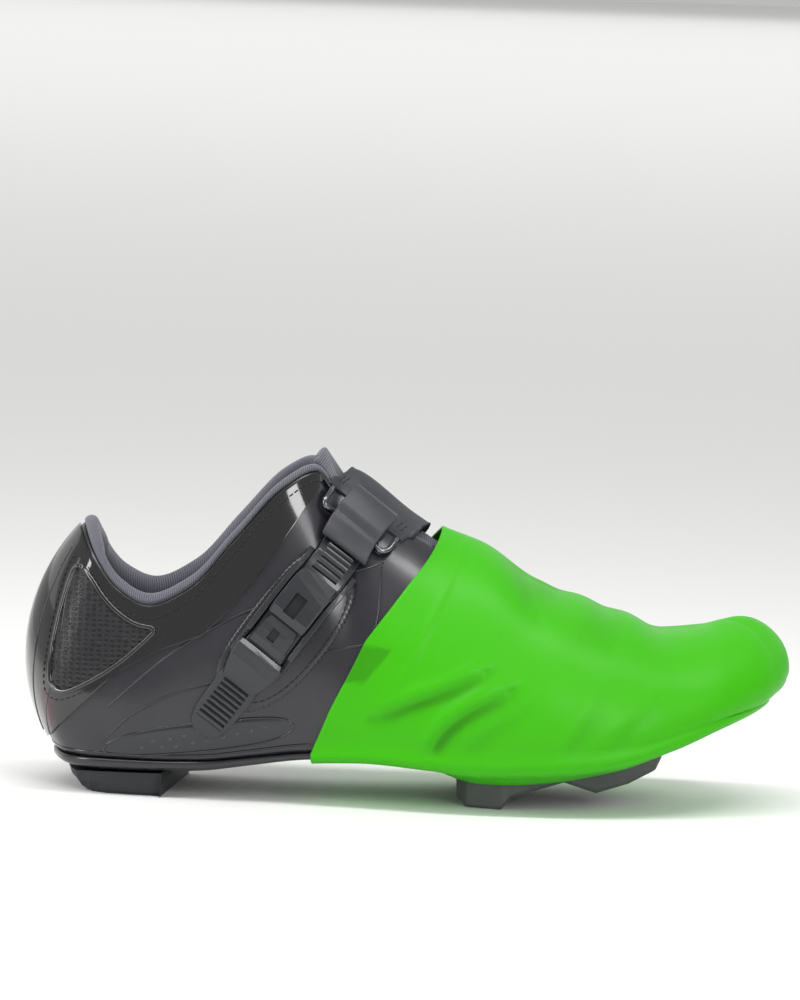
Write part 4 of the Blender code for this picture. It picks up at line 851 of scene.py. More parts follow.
def outline_sheet(outline, lay, rings=14):
    """Points and faces of a sheet filled from the middle of an outline to its edge."""
    outline = np.asarray(outline, float)
    middle = outline.mean(axis=0)
    shares = np.linspace(0, 1, rings + 1)[1:]
    points = [lay(*middle, 0.0)]
    points += [lay(*(middle + (p - middle) * share), share) for share in shares for p in outline]
    count = len(outline)
    faces = [(0, 1 + j, 1 + (j + 1) % count) for j in range(count)]
    for i in range(rings - 1):
        faces += [
            (1 + i * count + j, 1 + (i + 1) * count + j, 1 + (i + 1) * count + (j + 1) % count,
             1 + i * count + (j + 1) % count)
            for j in range(count)
        ]
    return np.array(points), faces


def face_out(piece, towards=None):
    """Turns every face of a closed piece outwards, or those of a sheet to one side."""
    work = bmesh.new()
    work.from_mesh(piece.data)
    bmesh.ops.recalc_face_normals(work, faces=work.faces)
    if towards is not None and sum(f.normal.dot(Vector(towards)) for f in work.faces) < 0:
        bmesh.ops.reverse_faces(work, faces=work.faces)
    work.to_mesh(piece.data)
    work.free()
    return piece


def soften(piece, levels=2):
    smooth = piece.modifiers.new("smooth", "SUBSURF")
    smooth.levels = smooth.render_levels = levels
    return piece


def polish(name, finish, width, angle=32):
    """A solid of the frame keeps its shape, and gets its finish and rounded edges."""
    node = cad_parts[name]
    node.data.materials.clear()
    node.data.materials.append(finish)
    weld = node.modifiers.new("weld", "WELD")
    weld.merge_threshold = 0.02 * MM
    edge = node.modifiers.new("rounded_edges", "BEVEL")
    edge.width = width
    edge.segments = 2
    edge.limit_method = "ANGLE"
    edge.angle_limit = math.radians(angle)
    edge.harden_normals = True
    return node


def shares_to_mm(shares):
    return np.asarray(shares, float) * (LAST_LENGTH / MM, INSTEP_HEIGHT / MM)


# %% [markdown]
# ## Heel counter and mesh windows
# Patent leather wraps the heel and runs up along the collar. On each side it holds a window of black
# ankle mesh, edged with glossy piping and a row of stitches.

# %% Counter
COUNTER_EDGE = np.array([
    (-0.050, 0.145), (0.030, 0.145), (0.048, 0.205), (0.118, 0.375), (0.178, 0.455), (0.232, 0.505),
    (0.265, 0.585), (0.300, 0.690), (0.345, 0.850), (0.374, 0.960), (0.380, 1.100),
])
COUNTER_THICKNESS = 0.8 * MM
COUNTER_LIFT = 0.35 * MM
counter_reach = STATIONS[COLLAR_FRONT_ROW] + 0.6 * (STATIONS[THROAT_TOP_ROW] - STATIONS[COLLAR_FRONT_ROW])
counter_stations = stations_upto(counter_reach, 110)
tries = np.linspace(0, 1, 160)
counter_levels = []
for s, edge in zip(counter_stations, throat_edge(counter_stations)):
    wall = wall_curve(np.full(tries.shape, s), tries)
    above = wall[:, 2] / INSTEP_HEIGHT - np.interp(wall[:, 0] / LAST_LENGTH, *COUNTER_EDGE.T)
    highest = 0.985 * edge
    lowest = min(np.interp(0.0, np.maximum.accumulate(above), tries), highest - 0.01)
    counter_levels.append(lowest + (highest - lowest) * np.linspace(0, 1, 34))
counter_grid = last_points(counter_stations[:, None], np.array(counter_levels), COUNTER_LIFT)
counter = mesh_piece(
    "patent_counter", counter_grid, grid_faces(*counter_grid.shape[:2]), patent, "patent", ["heel_counter"],
    run_of(counter_grid), merge=0.02 * MM,
)
thicken(counter, COUNTER_THICKNESS, rim=0.3 * MM)

# %% Mesh windows
MESH_OUTLINE = rounded(shares_to_mm([
    (0.066, 0.690), (0.079, 0.668), (0.104, 0.585), (0.140, 0.525), (0.170, 0.518), (0.168, 0.500),
    (0.120, 0.395), (0.066, 0.318), (0.046, 0.310), (0.034, 0.345), (0.041, 0.500), (0.056, 0.655),
]), 2)
mesh_lift = COUNTER_LIFT + COUNTER_THICKNESS
for side, word in ((-1, "outer"), (1, "inner")):
    def lay_mesh(x, z, share, side=side):
        return lay_on_side(x, z, mesh_lift + 0.05 * MM + 0.9 * MM * (1 - share**2), side)

    points, faces = outline_sheet(even_path(MESH_OUTLINE, 1.0), lay_mesh)
    mesh_uv = np.stack([(points[:, 0] - SHIFT[0]) / MM, points[:, 2] / MM], axis=1)
    window = mesh_piece(
        f"ankle_mesh_{word}", points, faces, ankle_mesh, "mesh", [f"mesh_panel_{word}"], mesh_uv
    )
    thicken(face_out(window, (0, side, 0)), 0.4 * MM, outwards=False)
    path, out = side_path(MESH_OUTLINE, 0.8, side, closed=True, rounds=1)
    rings, faces = swept(path + out * mesh_lift, out, round_profile(2.0 * MM, 1.7 * MM), loop=True)
    face_out(mesh_piece(f"mesh_piping_{word}", rings, faces, patent, "patent"))
    middle = MESH_OUTLINE.mean(axis=0)
    path, out = side_path(middle + (MESH_OUTLINE - middle) * 1.14, 0.8, side, closed=True, rounds=1)
    points, faces = stitch_row(path, out, mesh_lift, 1.5 * MM, 0.9 * MM, 0.45 * MM)
    mesh_piece(f"mesh_stitches_{word}", points, faces, thread, "patent")
print("mesh window:", (np.ptp(MESH_OUTLINE, axis=0)).round(1), "mm")

# %% [markdown]
# ## Collar and tongue
# A padded grey knit lines the collar and rolls over its edge. The tongue is the same knit, and stands up
# in front of the ankle.

# %% Collar
COLLAR_PAD = 5.5 * MM
COLLAR_ROLL = 4.2 * MM
COLLAR_DEPTH = 26.0 * MM
collar_reach = (STATIONS[COLLAR_FRONT_ROW] + STATIONS[THROAT_TOP_ROW]) / 2
collar_rings = []
for s in stations_upto(collar_reach, 46):
    level = float(throat_edge(s))
    rim = last_points(s, level)
    up = rim - last_points(s, level - 0.04)
    up /= np.linalg.norm(up)
    out = last_points(s, level - 0.02, MM) - last_points(s, level - 0.02)
    out -= up * out.dot(up)
    out /= np.linalg.norm(out)
    foot, _, _, top, _ = ribs(s)
    height = np.linalg.norm(top - foot)
    thin = ease((abs(s) / collar_reach - 0.55) / 0.45)
    pad = COLLAR_PAD * (1 - 0.72 * thin)
    roll = COLLAR_ROLL * (1 - 0.25 * thin)
    depth = COLLAR_DEPTH * (1 - 0.5 * thin)
    wall = UPPER_WALL + 0.3 * MM
    ring = [rim + out * a + up * b for a, b in (
        (0.9 * MM, 0.15 * roll), (1.0 * MM, 0.45 * roll), (0.5 * MM, 0.85 * roll), (-0.4 * wall, 1.08 * roll),
        (-wall, 1.10 * roll), (-wall - 0.6 * pad, 0.85 * roll), (-wall - 1.0 * pad, 0.10 * roll),
    )]
    ring += [last_points(s, level - below / height, -deep) for deep, below in (
        (wall + pad, 0.28 * depth), (wall + 0.75 * pad, 0.64 * depth), (wall + 0.8 * MM, depth),
        (wall, 0.95 * depth), (wall, 0.5 * depth),
    )]
    ring += [rim - out * wall + up * 0.3 * MM]
    collar_rings.append(ring)
collar_rings = np.array(collar_rings)
collar = mesh_piece(
    "collar_knit", collar_rings, capped_faces(*collar_rings.shape[:2]), knit, "knit", ["collar_lining"],
    run_of(collar_rings),
)
soften(face_out(collar))

# %% Tongue
TONGUE_RISE = 12.0 * MM
TONGUE_LEAN = 9.0 * MM
TONGUE_TOP_WIDTH = 22.0 * MM
tongue_along = np.linspace(STATIONS[VAMP_ROW], STATIONS[THROAT_TOP_ROW], 26)
to_top = (STATIONS[VAMP_ROW] - tongue_along) / (STATIONS[VAMP_ROW] - STATIONS[THROAT_TOP_ROW])
tongue_deep = -(UPPER_WALL + 0.55 * MM + 2.0 * MM * to_top**2)


def tongue_half(side):
    edge = throat_edge(side * tongue_along)
    under = (1 - (1 - np.linspace(0.75, 1, 9)[:, None]) * (1 - 0.95 * to_top**2)) * edge
    under += 0.25 * to_top**3 * (1 - edge)
    bridge = under[-1:] + (1 - under[-1:]) * np.linspace(0, 1, 5)[1:, None]
    across = np.concatenate([under, bridge]).T
    return last_points((side * tongue_along)[:, None], across, tongue_deep[:, None])


outer_half, inner_half = tongue_half(-1), tongue_half(1)
ridge = (outer_half[:, -1:] + inner_half[:, -1:]) / 2
tongue_rings = list(np.concatenate([outer_half[:, :-1], ridge, inner_half[:, -2::-1]], axis=1))
throat_top = tongue_rings[-1]
across = np.linspace(-1, 1, len(throat_top))
peak = throat_top[len(across) // 2]
tongue_top = np.stack([
    peak[0] - TONGUE_LEAN - 3 * MM * across**2,
    across * TONGUE_TOP_WIDTH / 2,
    peak[2] + TONGUE_RISE - 4 * MM * across**2,
], axis=1)
for step in np.linspace(0.1, 1.0, 10):
    row = throat_top + (tongue_top - throat_top) * step
    row[:, 1] = throat_top[:, 1] + (tongue_top[:, 1] - throat_top[:, 1]) * ease(step * 3)
    tongue_rings.append(row)
tongue_rings = np.array(tongue_rings)
tongue = mesh_piece(
    "knit_tongue", tongue_rings, grid_faces(*tongue_rings.shape[:2]), knit, "knit", ["tongue"],
    run_of(tongue_rings),
)
soften(thicken(face_out(tongue, (1, 0, 1)), 2.6 * MM, outwards=False, even=False), 1)
print("collar and tongue made, tongue top at", (tongue_top[:, 2].max() / MM).round(1), "mm")

# %% [markdown]
# ## Strap and patch
# The wide strap crosses the instep and ends at a wire ring. Its long edges are pinked, cut in fine
# zigzags, and two rows of stitches run along them. The patch under the buckle is cut the same way.

# %% Laying the strap round the instep
STRAP_WIDTH = 36.0 * MM
STRAP_THICKNESS = 2.4 * MM
STRAP_DRIFT = -6.0 * MM
STRAP_LIFT = 0.85 * MM
STRAP_END = 10.0 * MM
PINK_DEPTH = 0.7 * MM
FINE_STITCH = (1.8 * MM, 0.8 * MM, 0.4 * MM)


def lay_around(angle, across, proud):
    """A point of the strap's band, by a ray towards a centre inside the instep."""
    centre = STRAP_CROSSING + STRAP_DOWN * 40 * MM + STRAP_ACROSS * across
    out = -STRAP_DOWN * math.cos(math.radians(angle)) + np.array([0, 1, 0]) * math.sin(math.radians(angle))
    place, normal, _, _ = LAST_TREE.ray_cast(Vector(centre + out * 0.12), Vector(-out))
    if normal.dot(Vector(out)) < 0:
        normal = -normal
    return np.array(place + normal * proud)


def strap_place(turn, across, proud):
    """A point of the strap at an angle round the instep. Below -9 it runs on down the outer side."""
    if turn < -9:
        share = min(1.0, (-9 - turn) / 6)
        down = 0.62 * STRAP_END + 0.38 * STRAP_END * share
        return lay_beside_strap(down, across + (0.8 + 0.2 * share) * STRAP_DRIFT, proud)
    taper = 1 - 0.34 * ease((turn - 5) / 50)
    drift = STRAP_DRIFT * (ease((10 - turn) / 38) + 0.5 * ease((turn - 5) / 45))
    return lay_around(turn, across * taper + drift, proud)


strap_turns = np.concatenate([np.linspace(-15, -9.5, 8), np.linspace(-9, 140, 250)])
strap_shares = np.concatenate([[-1.0], np.linspace(-0.94, 0.94, 17), [1.0]])
strap_rows = []
for number, turn in enumerate(strap_turns):
    pink = PINK_DEPTH * (number % 2)
    strap_rows.append([
        strap_place(turn, share * (STRAP_WIDTH / 2 - (pink if abs(share) == 1 else 0.0)), STRAP_LIFT)
        for share in strap_shares
    ])
strap_rows = np.array(strap_rows)


def evened(grid, reach):
    """The grid with each row the mean of its neighbours, so that no facet of the last shows through."""
    padded = np.concatenate([grid[:1]] * reach + [grid] + [grid[-1:]] * reach)
    return sum(padded[k:k + len(grid)] for k in range(2 * reach + 1)) / (2 * reach + 1)


strap_rows[:, 1:-1] = evened(strap_rows[:, 1:-1], 3)
strap_out = np.cross(np.gradient(strap_rows, axis=0), np.gradient(strap_rows, axis=1))
strap_out[:, (0, -1)] = strap_out[:, (1, -2)]
strap_out /= np.linalg.norm(strap_out, axis=-1, keepdims=True)
strap_out = evened(strap_out * (-1 if strap_out[0, 8, 1] > 0 else 1), 8)
strap = mesh_piece(
    "instep_band", strap_rows, grid_faces(*strap_rows.shape[:2]), strap_finish, "strap", ["instep_strap"],
    run_of(strap_rows),
)
thicken(face_out(strap, (0, -1, 1)), STRAP_THICKNESS, outwards=True, even=False)
strap_stitches = []
for share in (-0.80, -0.66, 0.66, 0.80):
    near = int(np.argmin(np.abs(strap_shares - share)))
    for rows in (slice(1, 8), slice(60, -4)):
        way = strap_out[rows, near]
        low = strap_rows[rows, near] + way * STRAP_THICKNESS
        strap_stitches.append(stitch_row(low, way, 0.05 * MM, *FINE_STITCH))
mesh_piece("strap_stitches", *joined(strap_stitches), thread, "strap")

# %% Sewn patch under the buckle
PATCH_OUTLINE = np.array([
    (30.0, -12.0), (36.0, -16.5), (60.0, -17.5), (84.0, -16.5), (93.0, -10.0), (95.0, 0.0), (90.0, 8.0),
    (76.0, 13.0), (56.0, 14.0), (38.0, 12.0), (30.0, 7.5),
]) * MM
PATCH_LIFT = 0.6 * MM
PATCH_THICKNESS = 1.0 * MM
patch_edge = rounded(PATCH_OUTLINE, 3)
patch_edge = even_path(np.concatenate([patch_edge, patch_edge[:1]]), 1.0 * MM)[:-1]
patch_middle = patch_edge.mean(axis=0)
pinks = np.where(np.arange(len(patch_edge)) % 2 == 0, 1.0, 0.965)[:, None]
points, faces = outline_sheet(
    patch_middle + (patch_edge - patch_middle) * pinks, lambda a, b, share: lay_beside_strap(a, b, PATCH_LIFT)
)
patch = mesh_piece("sewn_patch", points, faces, microfibre, "microfibre", ["buckle_patch"])
thicken(face_out(patch, (0, -1, 0)), PATCH_THICKNESS, outwards=True)
patch_seam = patch_middle + (np.concatenate([patch_edge, patch_edge[:1]]) - patch_middle) * 0.87
seam_height = PATCH_LIFT + PATCH_THICKNESS
low = np.array([lay_beside_strap(a, b, seam_height) for a, b in patch_seam])
high = np.array([lay_beside_strap(a, b, seam_height + MM) for a, b in patch_seam])
points, faces = stitch_row(low, (high - low) / MM, 0.0, *FINE_STITCH)
mesh_piece("patch_stitches", points, faces, thread, "microfibre")
print("strap rows:", len(strap_rows), "patch edge:", len(patch_edge), "points")
# %% [markdown]
# ## Ring, link and ratchet
# A bent wire ring hangs from the strap's end. A link loops round it and holds the toothed ratchet strap,
# which runs through the buckle and out below it.

# %% Stiff parts keep a straight cross-section while they follow the strap down
RATCHET_MIDDLE = -4.4 * MM


def buckle_place(down, across, height):
    """A point of a stiff part, down the strap, across it and above the surface of the last."""
    reach = 8 * MM
    low = lay_beside_strap(down, RATCHET_MIDDLE - reach, 0.0)
    high = lay_beside_strap(down, RATCHET_MIDDLE + reach, 0.0)
    ahead = lay_beside_strap(down + 5 * MM, RATCHET_MIDDLE, 0.0)
    behind = lay_beside_strap(down - 5 * MM, RATCHET_MIDDLE, 0.0)
    width = (high - low) / np.linalg.norm(high - low)
    normal = np.cross(width, ahead - behind)
    normal /= np.linalg.norm(normal)
    if normal[1] > 0:
        normal = -normal
    return lay_beside_strap(down, RATCHET_MIDDLE, 0.0) + width * (across - RATCHET_MIDDLE) + normal * height


# %% Wire ring
RING_WIRE = 2.4 * MM
RING_END = 17.5 * MM
ring_side = STRAP_WIDTH / 2 - RING_WIRE
bend = [3.2 * MM * (1 - math.sin(math.radians(t))) for t in range(0, 91, 10)]
ring_leg = [(STRAP_END + RING_WIRE / 2 + 4 * MM * t, ring_side) for t in (0.0, 0.35)]
ring_leg += [(RING_END - c, ring_side - d) for c, d in zip(bend, bend[::-1])]
ring_bar = [(RING_END, b * MM) for b in (-9, -4, 1.5, 7, 12)]
ring_route = [(a, -b) for a, b in ring_leg] + ring_bar + ring_leg[::-1]
ring_rise = 0.85 * MM + 0.2 * MM + RING_WIRE / 2
ring_path, ring_out = [], []
for a, b in ring_route:
    place = buckle_place if abs(b + STRAP_DRIFT - RATCHET_MIDDLE) < 10 * MM else lay_beside_strap
    ring_path.append(place(a, b + STRAP_DRIFT, ring_rise))
    ring_out.append(place(a, b + STRAP_DRIFT, ring_rise + MM) - ring_path[-1])
rings, faces = swept(np.array(ring_path), np.array(ring_out) / MM, round_profile(RING_WIRE, RING_WIRE, 12))
face_out(mesh_piece("wire_ring", rings, faces, ring_metal, "ring_metal", ["strap_ring"]))

# %% Link and ratchet strap
RATCHET_HALF = 8.0 * MM
LINK_HALF = 10.0 * MM
over_ring = 0.85 * MM + RING_WIRE + 1.55 * MM
on_patch = 0.6 * MM + 1.0 * MM + 0.55 * MM
floor_level = on_patch + 0.4 * MM
on_floor = floor_level + 1.0 * MM + 0.55 * MM


def strap_slab(rows, half, round_edge):
    """Rings along the strap from rows of (down, low, high, share), with rounded long edges."""
    table = np.array(rows)
    downs = even_path(table[:, :1], 1.2 * MM)[:, 0]
    downs = np.unique(np.round(np.concatenate([downs, table[:, 0]]), 6))
    rings = []
    for down in downs:
        low, high, share = (np.interp(down, table[:, 0], table[:, k]) for k in (1, 2, 3))
        side, thick = half * share, high - low
        turn = np.radians(np.arange(0, 91, 22.5))
        corner = min(round_edge, thick / 2)
        arc_side = side - corner + corner * np.cos(turn)
        upper_arc = list(zip(arc_side, high - corner + corner * np.sin(turn)))
        lower_arc = list(zip(arc_side, low + corner - corner * np.sin(turn)))
        profile = [*upper_arc, *((-b, h) for b, h in upper_arc[::-1])]
        profile += [*((-b, h) for b, h in lower_arc), *lower_arc[::-1]]
        rings.append([buckle_place(down, RATCHET_MIDDLE + b, h) for b, h in profile])
    return np.array(rings)


# Each row: mm down the strap, height of the under and the upper face in mm, share of the width
LINK_ROWS = [(down * MM, over_ring + low * MM, over_ring + high * MM, share) for down, low, high, share in (
    (7.0, 0.0, 1.0, 0.92), (8.0, 0.0, 1.7, 0.98), (9.5, 0.0, 1.9, 1.0), (14.5, 0.0, 2.3, 1.0),
    (16.2, 0.0, 1.7, 1.0), (17.2, 0.0, 1.5, 1.0), (18.4, 0.0, 2.0, 1.0), (24.0, 0.0, 2.1, 1.0),
    (25.8, 0.1, 1.8, 1.0), (26.5, 0.1, 1.1, 0.96),
)]
link = strap_slab(LINK_ROWS, LINK_HALF, 0.6 * MM)
face_out(mesh_piece(
    "folded_link", link, capped_faces(*link.shape[:2]), strap_finish, "strap", ["ratchet_link"]
))
# Each row: mm down the strap, rise from the patch, 0, to the buckle's floor, 1, share of the width
RATCHET_THICKNESS = 1.8 * MM
ratchet_climb = on_floor - on_patch
RATCHET_ROWS = [
    (down * MM, on_patch + ratchet_climb * rise, on_patch + ratchet_climb * rise + RATCHET_THICKNESS, share)
    for down, rise, share in (
        (24.5, -0.30, 1.0), (28.0, 0.20, 1.0), (31.5, 1.0, 1.0), (77.0, 1.0, 1.0), (84.0, 0.5, 1.0),
        (94.5, 0.0, 0.98), (101.5, -0.25, 0.94), (105.0, -0.35, 0.82), (107.4, -0.42, 0.62),
        (108.5, -0.45, 0.40),
    )
]
ratchet = strap_slab(RATCHET_ROWS, RATCHET_HALF, 0.5 * MM)
face_out(mesh_piece(
    "ratchet_tongue", ratchet, capped_faces(*ratchet.shape[:2]), buckle_plastic, "buckle_plastic",
    ["ratchet_strap"],
))

# %% Teeth of the ratchet strap
TOOTH_PITCH = 2.1 * MM
TOOTH_HEIGHT = 0.9 * MM
ratchet_table = np.array(RATCHET_ROWS)
TOOTH_PROFILE = (
    (-0.6 * MM, -0.3 * MM), (-0.45 * MM, TOOTH_HEIGHT), (-0.1 * MM, TOOTH_HEIGHT), (1.2 * MM, 0.05 * MM),
    (1.2 * MM, -0.3 * MM),
)
TOOTH_ACROSS = (-5.6 * MM, -5.3 * MM, 0.0, 5.3 * MM, 5.6 * MM)
teeth = []
for start, end in ((27.5, 38.0), (85.5, 103.0)):
    for down in np.arange(start * MM, end * MM, TOOTH_PITCH):
        top = np.interp(down, ratchet_table[:, 0], ratchet_table[:, 2])
        rings = [
            [buckle_place(down + a, RATCHET_MIDDLE + b, top + h) for a, h in TOOTH_PROFILE]
            for b in TOOTH_ACROSS
        ]
        teeth.append((rings, capped_faces(len(TOOTH_ACROSS), len(TOOTH_PROFILE))))
points, faces = joined(teeth)
face_out(mesh_piece("ratchet_teeth", points, faces, buckle_plastic, "buckle_plastic"))

# %% Buckle, cleat, heel pad and bolts keep their solids' shapes
for name, finish, width in (
    ("buckle_base", buckle_plastic, 0.35 * MM), ("buckle_lever", buckle_plastic, 0.45 * MM),
    ("buckle_pawl", buckle_plastic, 0.30 * MM), ("buckle_catch", buckle_plastic, 0.50 * MM),
    ("cleat", cleat_plastic, 0.60 * MM), ("heel_pad", heel_rubber, 0.60 * MM),
    ("cleat_bolt_front", bolt_steel, 0.35 * MM), ("cleat_bolt_outer", bolt_steel, 0.35 * MM),
    ("cleat_bolt_inner", bolt_steel, 0.35 * MM),
):
    polish(name, finish, width)

# %% [markdown]
# ## Sole and insole
# The sole is one stiff plate with a rounded edge. A thin line of glue and piping shows where the upper
# meets it. The insole lies inside on the plate.

# %% Outsole
SOLE_EDGE = (
    (0.2 * MM, 0.00), (0.7 * MM, 0.05), (0.95 * MM, 0.15), (0.9 * MM, 0.30), (0.2 * MM, 0.45),
    (-0.9 * MM, 0.57), (-2.6 * MM, 0.67), (-5.0 * MM, 0.76), (-8.0 * MM, 0.86),
)
sole_stations = np.linspace(0, 1, 150)
sole_outer = [beside_sole(-sole_stations, out, depth) for out, depth in SOLE_EDGE]
sole_inner = [beside_sole(sole_stations, out, depth) for out, depth in SOLE_EDGE]


def across_sole(a, b, depths):
    rows = []
    for share, depth in zip(np.linspace(0, 1, len(depths) + 2)[1:-1], depths):
        row = a + (b - a) * share
        row[:, 2] = sole_height(row[:, 0], depth)
        rows.append(row)
    return rows


sole_ring = [
    sole_outer[0], *across_sole(sole_outer[0], sole_inner[0], [0.0] * 5), *sole_inner,
    *across_sole(sole_inner[-1], sole_outer[-1], [0.97, 1.0, 1.0, 1.0, 0.97]), *sole_outer[:0:-1],
]
sole_rings = np.stack(sole_ring, axis=1)
face_out(mesh_piece(
    "sole_plate", sole_rings, capped_faces(*sole_rings.shape[:2]), sole_composite, "sole_composite",
    ["outsole"], merge=0.02 * MM,
))

# %% Insole
INSOLE_THICKNESS = 3.0 * MM
insole_stations = np.linspace(0.03, 0.985, 90)
insole_outer, insole_inner = (
    beside_sole(side * insole_stations, -(UPPER_WALL + 1.2 * MM), 0.0) for side in (-1, 1)
)
insole_rows = []
for share in np.linspace(0, 1, 21):
    row = insole_outer + (insole_inner - insole_outer) * share
    cupped = 1.2 * MM * (2 * abs(share - 0.5)) ** 6
    row[:, 2] = sole_height(row[:, 0], 0.0) + FIT_GAP + INSOLE_THICKNESS + cupped
    insole_rows.append(row)
insole_grid = np.stack(insole_rows, axis=1)
insole = mesh_piece(
    "insole_sheet", insole_grid, grid_faces(*insole_grid.shape[:2]), insole_fabric, "insole_fabric",
    ["insole"],
)
thicken(face_out(insole, (0, 0, 1)), INSOLE_THICKNESS - 0.1 * MM, outwards=False)
print("sole:", (np.ptp(sole_rings.reshape(-1, 3), axis=0) / MM).round(1), "mm")
# %% [markdown]
# ## Seams and pressed panels of the upper
# The quarters are one sheet with raised seams. Low on each side a pressed leaf panel carries two rows of
# dimples. A thin welt line runs where the upper meets the sole, and a dark pinked line follows the collar.

# %% Raised seams, as drawn in the side view in mm from the heel and above the floor
SEAMS = {
    "quarter_seam": ((31.5, 33.0), (45.4, 46.5), (57.5, 56.5), (70.5, 65.0), (82.0, 71.0), (90.0, 73.5)),
    "arch_seam": ((29.6, 19.5), (38.0, 29.0), (47.0, 35.0), (57.0, 40.0), (68.5, 43.5), (78.0, 46.0)),
    "triangle_seam_back": ((112.4, 57.7), (119.0, 59.0), (127.5, 60.6), (130.0, 73.0), (130.5, 88.0)),
    "triangle_seam_front": ((119.0, 86.0), (126.0, 88.0), (131.0, 89.5)),
}
SEAM_WIDTH = 1.1 * MM
SEAM_HEIGHT = 0.7 * MM
for side, word in ((-1, "outer"), (1, "inner")):
    seams = []
    for points in SEAMS.values():
        path, out = side_path(points, 1.0, side)
        fade = np.sin(np.pi * np.linspace(0.06, 0.94, len(path))) ** 0.3
        rings, faces = swept(path, out, round_profile(SEAM_WIDTH, SEAM_HEIGHT, 8))
        seams.append((path[:, None] + (rings - path[:, None]) * fade[:, None, None], faces))
    points, faces = joined(seams)
    face_out(mesh_piece(f"quarter_seams_{word}", points, faces, microfibre, "microfibre"))

# %% Leaf panel with its dimples
LEAF_OUTLINE = rounded([
    (29.5, 17.2), (34.5, 21.5), (47.0, 25.6), (64.4, 28.6), (82.0, 31.2), (94.5, 32.2), (100.5, 30.6),
    (99.5, 26.5), (90.0, 22.2), (70.0, 18.4), (45.7, 15.6), (33.0, 14.8),
], 2)
LEAF_HEIGHT = 0.45 * MM
DIMPLES = (
    (44.7, 18.9), (52.1, 19.2), (57.2, 19.7), (63.4, 21.2), (68.7, 22.1), (74.5, 23.9), (79.4, 25.4),
    (84.6, 26.6), (89.9, 28.3), (48.7, 21.3), (54.8, 22.3), (60.0, 23.8), (65.2, 25.6), (70.0, 26.9),
    (75.4, 28.9), (80.4, 30.7),
)
DIMPLE_HALVES = (0.75, 0.55)
leaf_edge = even_path(np.concatenate([LEAF_OUTLINE, LEAF_OUTLINE[:1]]), 1.2)[:-1]
dimple_turns = np.linspace(0, 2 * np.pi, 10, endpoint=False)
dimple_edge = np.stack([np.cos(dimple_turns), np.sin(dimple_turns)], axis=1) * DIMPLE_HALVES
for side, word in ((-1, "outer"), (1, "inner")):
    def lay_leaf(x, z, share, side=side):
        return lay_on_side(x, z, LEAF_HEIGHT * (1 - share**6) - 0.05 * MM * share, side)

    points, faces = outline_sheet(leaf_edge, lay_leaf)
    leaf = mesh_piece(f"leaf_panel_{word}", points, faces, buckle_plastic, "buckle_plastic")
    face_out(leaf, (0, side, 0))
    path, out = side_path(LEAF_OUTLINE, 1.0, side, closed=True, rounds=1)
    rings, faces = swept(path, out, round_profile(0.9 * MM, 0.8 * MM, 8), loop=True)
    face_out(mesh_piece(f"leaf_rim_{word}", rings, faces, patent, "patent"))
    points, faces = joined([
        outline_sheet(
            dimple + dimple_edge,
            lambda a, b, share: lay_on_side(a, b, LEAF_HEIGHT + 0.22 * MM * (1 - share**2), side), 3,
        )
        for dimple in DIMPLES
    ])
    face_out(mesh_piece(f"leaf_dots_{word}", points, faces, piping, "microfibre"), (0, side, 0))

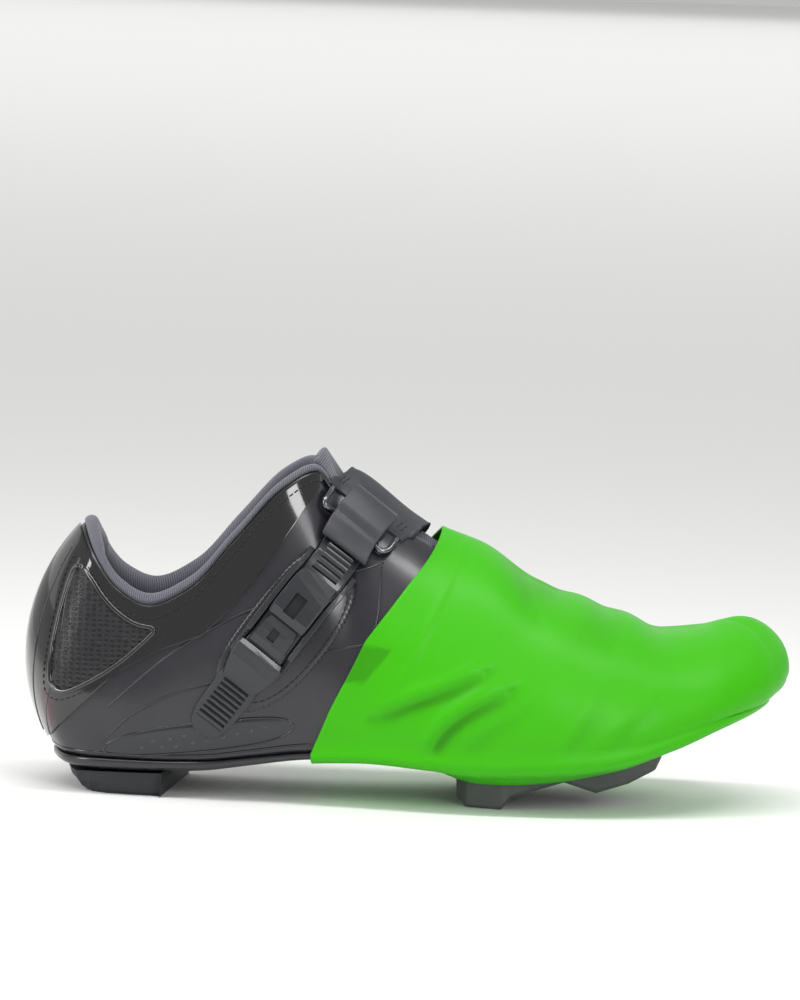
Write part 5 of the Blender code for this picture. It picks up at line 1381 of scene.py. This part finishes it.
# %% Welt line, heel strip seams and the pinked line below the collar
welt_stations = np.linspace(-0.52, 0.52, 260)
low = last_points(welt_stations, 0.028)
high = last_points(welt_stations, 0.028, MM)
rings, faces = swept(low, (high - low) / MM, round_profile(0.9 * MM, 0.9 * MM, 8))
face_out(mesh_piece("welt_line", rings, faces, patent, "patent"))
strips = []
for station in (-0.052, -0.03, 0.03, 0.052):
    rise = np.linspace(0.10, 0.93, 70)
    turn = station * (1.0 + 0.5 * np.sin(np.pi * rise))
    low = last_points(turn, rise, mesh_lift - 0.15 * MM)
    high = last_points(turn, rise, mesh_lift + 0.85 * MM)
    strips.append(swept(low, (high - low) / MM, round_profile(0.9 * MM, 0.9 * MM, 8)))
points, faces = joined(strips)
face_out(mesh_piece("heel_strip_seams", points, faces, patent, "patent"))
collar_lines = []
for side in (-1, 1):
    s = side * np.linspace(0.14, STATIONS[COLLAR_FRONT_ROW] + 0.012, 160)
    foot, _, _, top, _ = ribs(s)
    level = throat_edge(s) - 5.0 * MM / np.linalg.norm(top - foot, axis=-1)
    low = last_points(s, level, mesh_lift)
    high = last_points(s, level, mesh_lift + MM)
    collar_lines.append(stitch_row(low, (high - low) / MM, 0.0, 1.6 * MM, 0.8 * MM, 0.55 * MM))
mesh_piece("collar_stitches", *joined(collar_lines), thread, "patent")

# %% Maroon inset at the foot of the heel
# Maroon film: glossy dark red plastic, set flush into the patent leather
accent_finish, tree, shader = new_finish("maroon_film", "#3A0518", 0.2, Coat_Weight=0.6)
accent = rounded([(5.6, 37.5), (8.5, 38.5), (12.2, 33.0), (12.8, 24.0), (10.2, 22.5), (7.6, 28.0)], 2)
for side, word in ((-1, "outer"), (1, "inner")):
    def lay_accent(x, z, share, side=side):
        return lay_on_side(x, z, mesh_lift + 0.12 * MM * (1 - share**4), side)

    points, faces = outline_sheet(accent, lay_accent, 5)
    face_out(mesh_piece(f"heel_accent_{word}", points, faces, accent_finish, "patent"), (-1, side, 0))

# %% Rolled lip of the latex round the cleat
lip = np.array([(x, -half) for x, half in HOLE_ROWS] + [(x, half) for x, half in HOLE_ROWS[::-1]])
lip = even_path(rounded(lip, 2), 2.0)
lip_path = np.stack([
    lip[:, 0] * MM + SHIFT[0], lip[:, 1] * MM, sole_height(lip[:, 0] * MM + SHIFT[0], 1.0) - 1.9 * MM,
], axis=1)
lip_path = np.concatenate([lip_path, lip_path[:1]])
downward = np.broadcast_to([0.0, 0.0, -1.0], lip_path.shape)
rings, faces = swept(lip_path, downward, round_profile(2.2 * MM, 1.7 * MM), True)
face_out(mesh_piece("cover_lip", rings, faces, latex, "latex"))
print("seams and details made")


# %% [markdown]
# ## Sizes
# Both boxes, of the solids and of the dressed model, are printed.

# %% Measure and finish
dressed_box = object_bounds()
for name, box in (("solids", cad_box), ("dressed", dressed_box)):
    print(name, [[round(c / MM, 1) for c in corner] for corner in box])
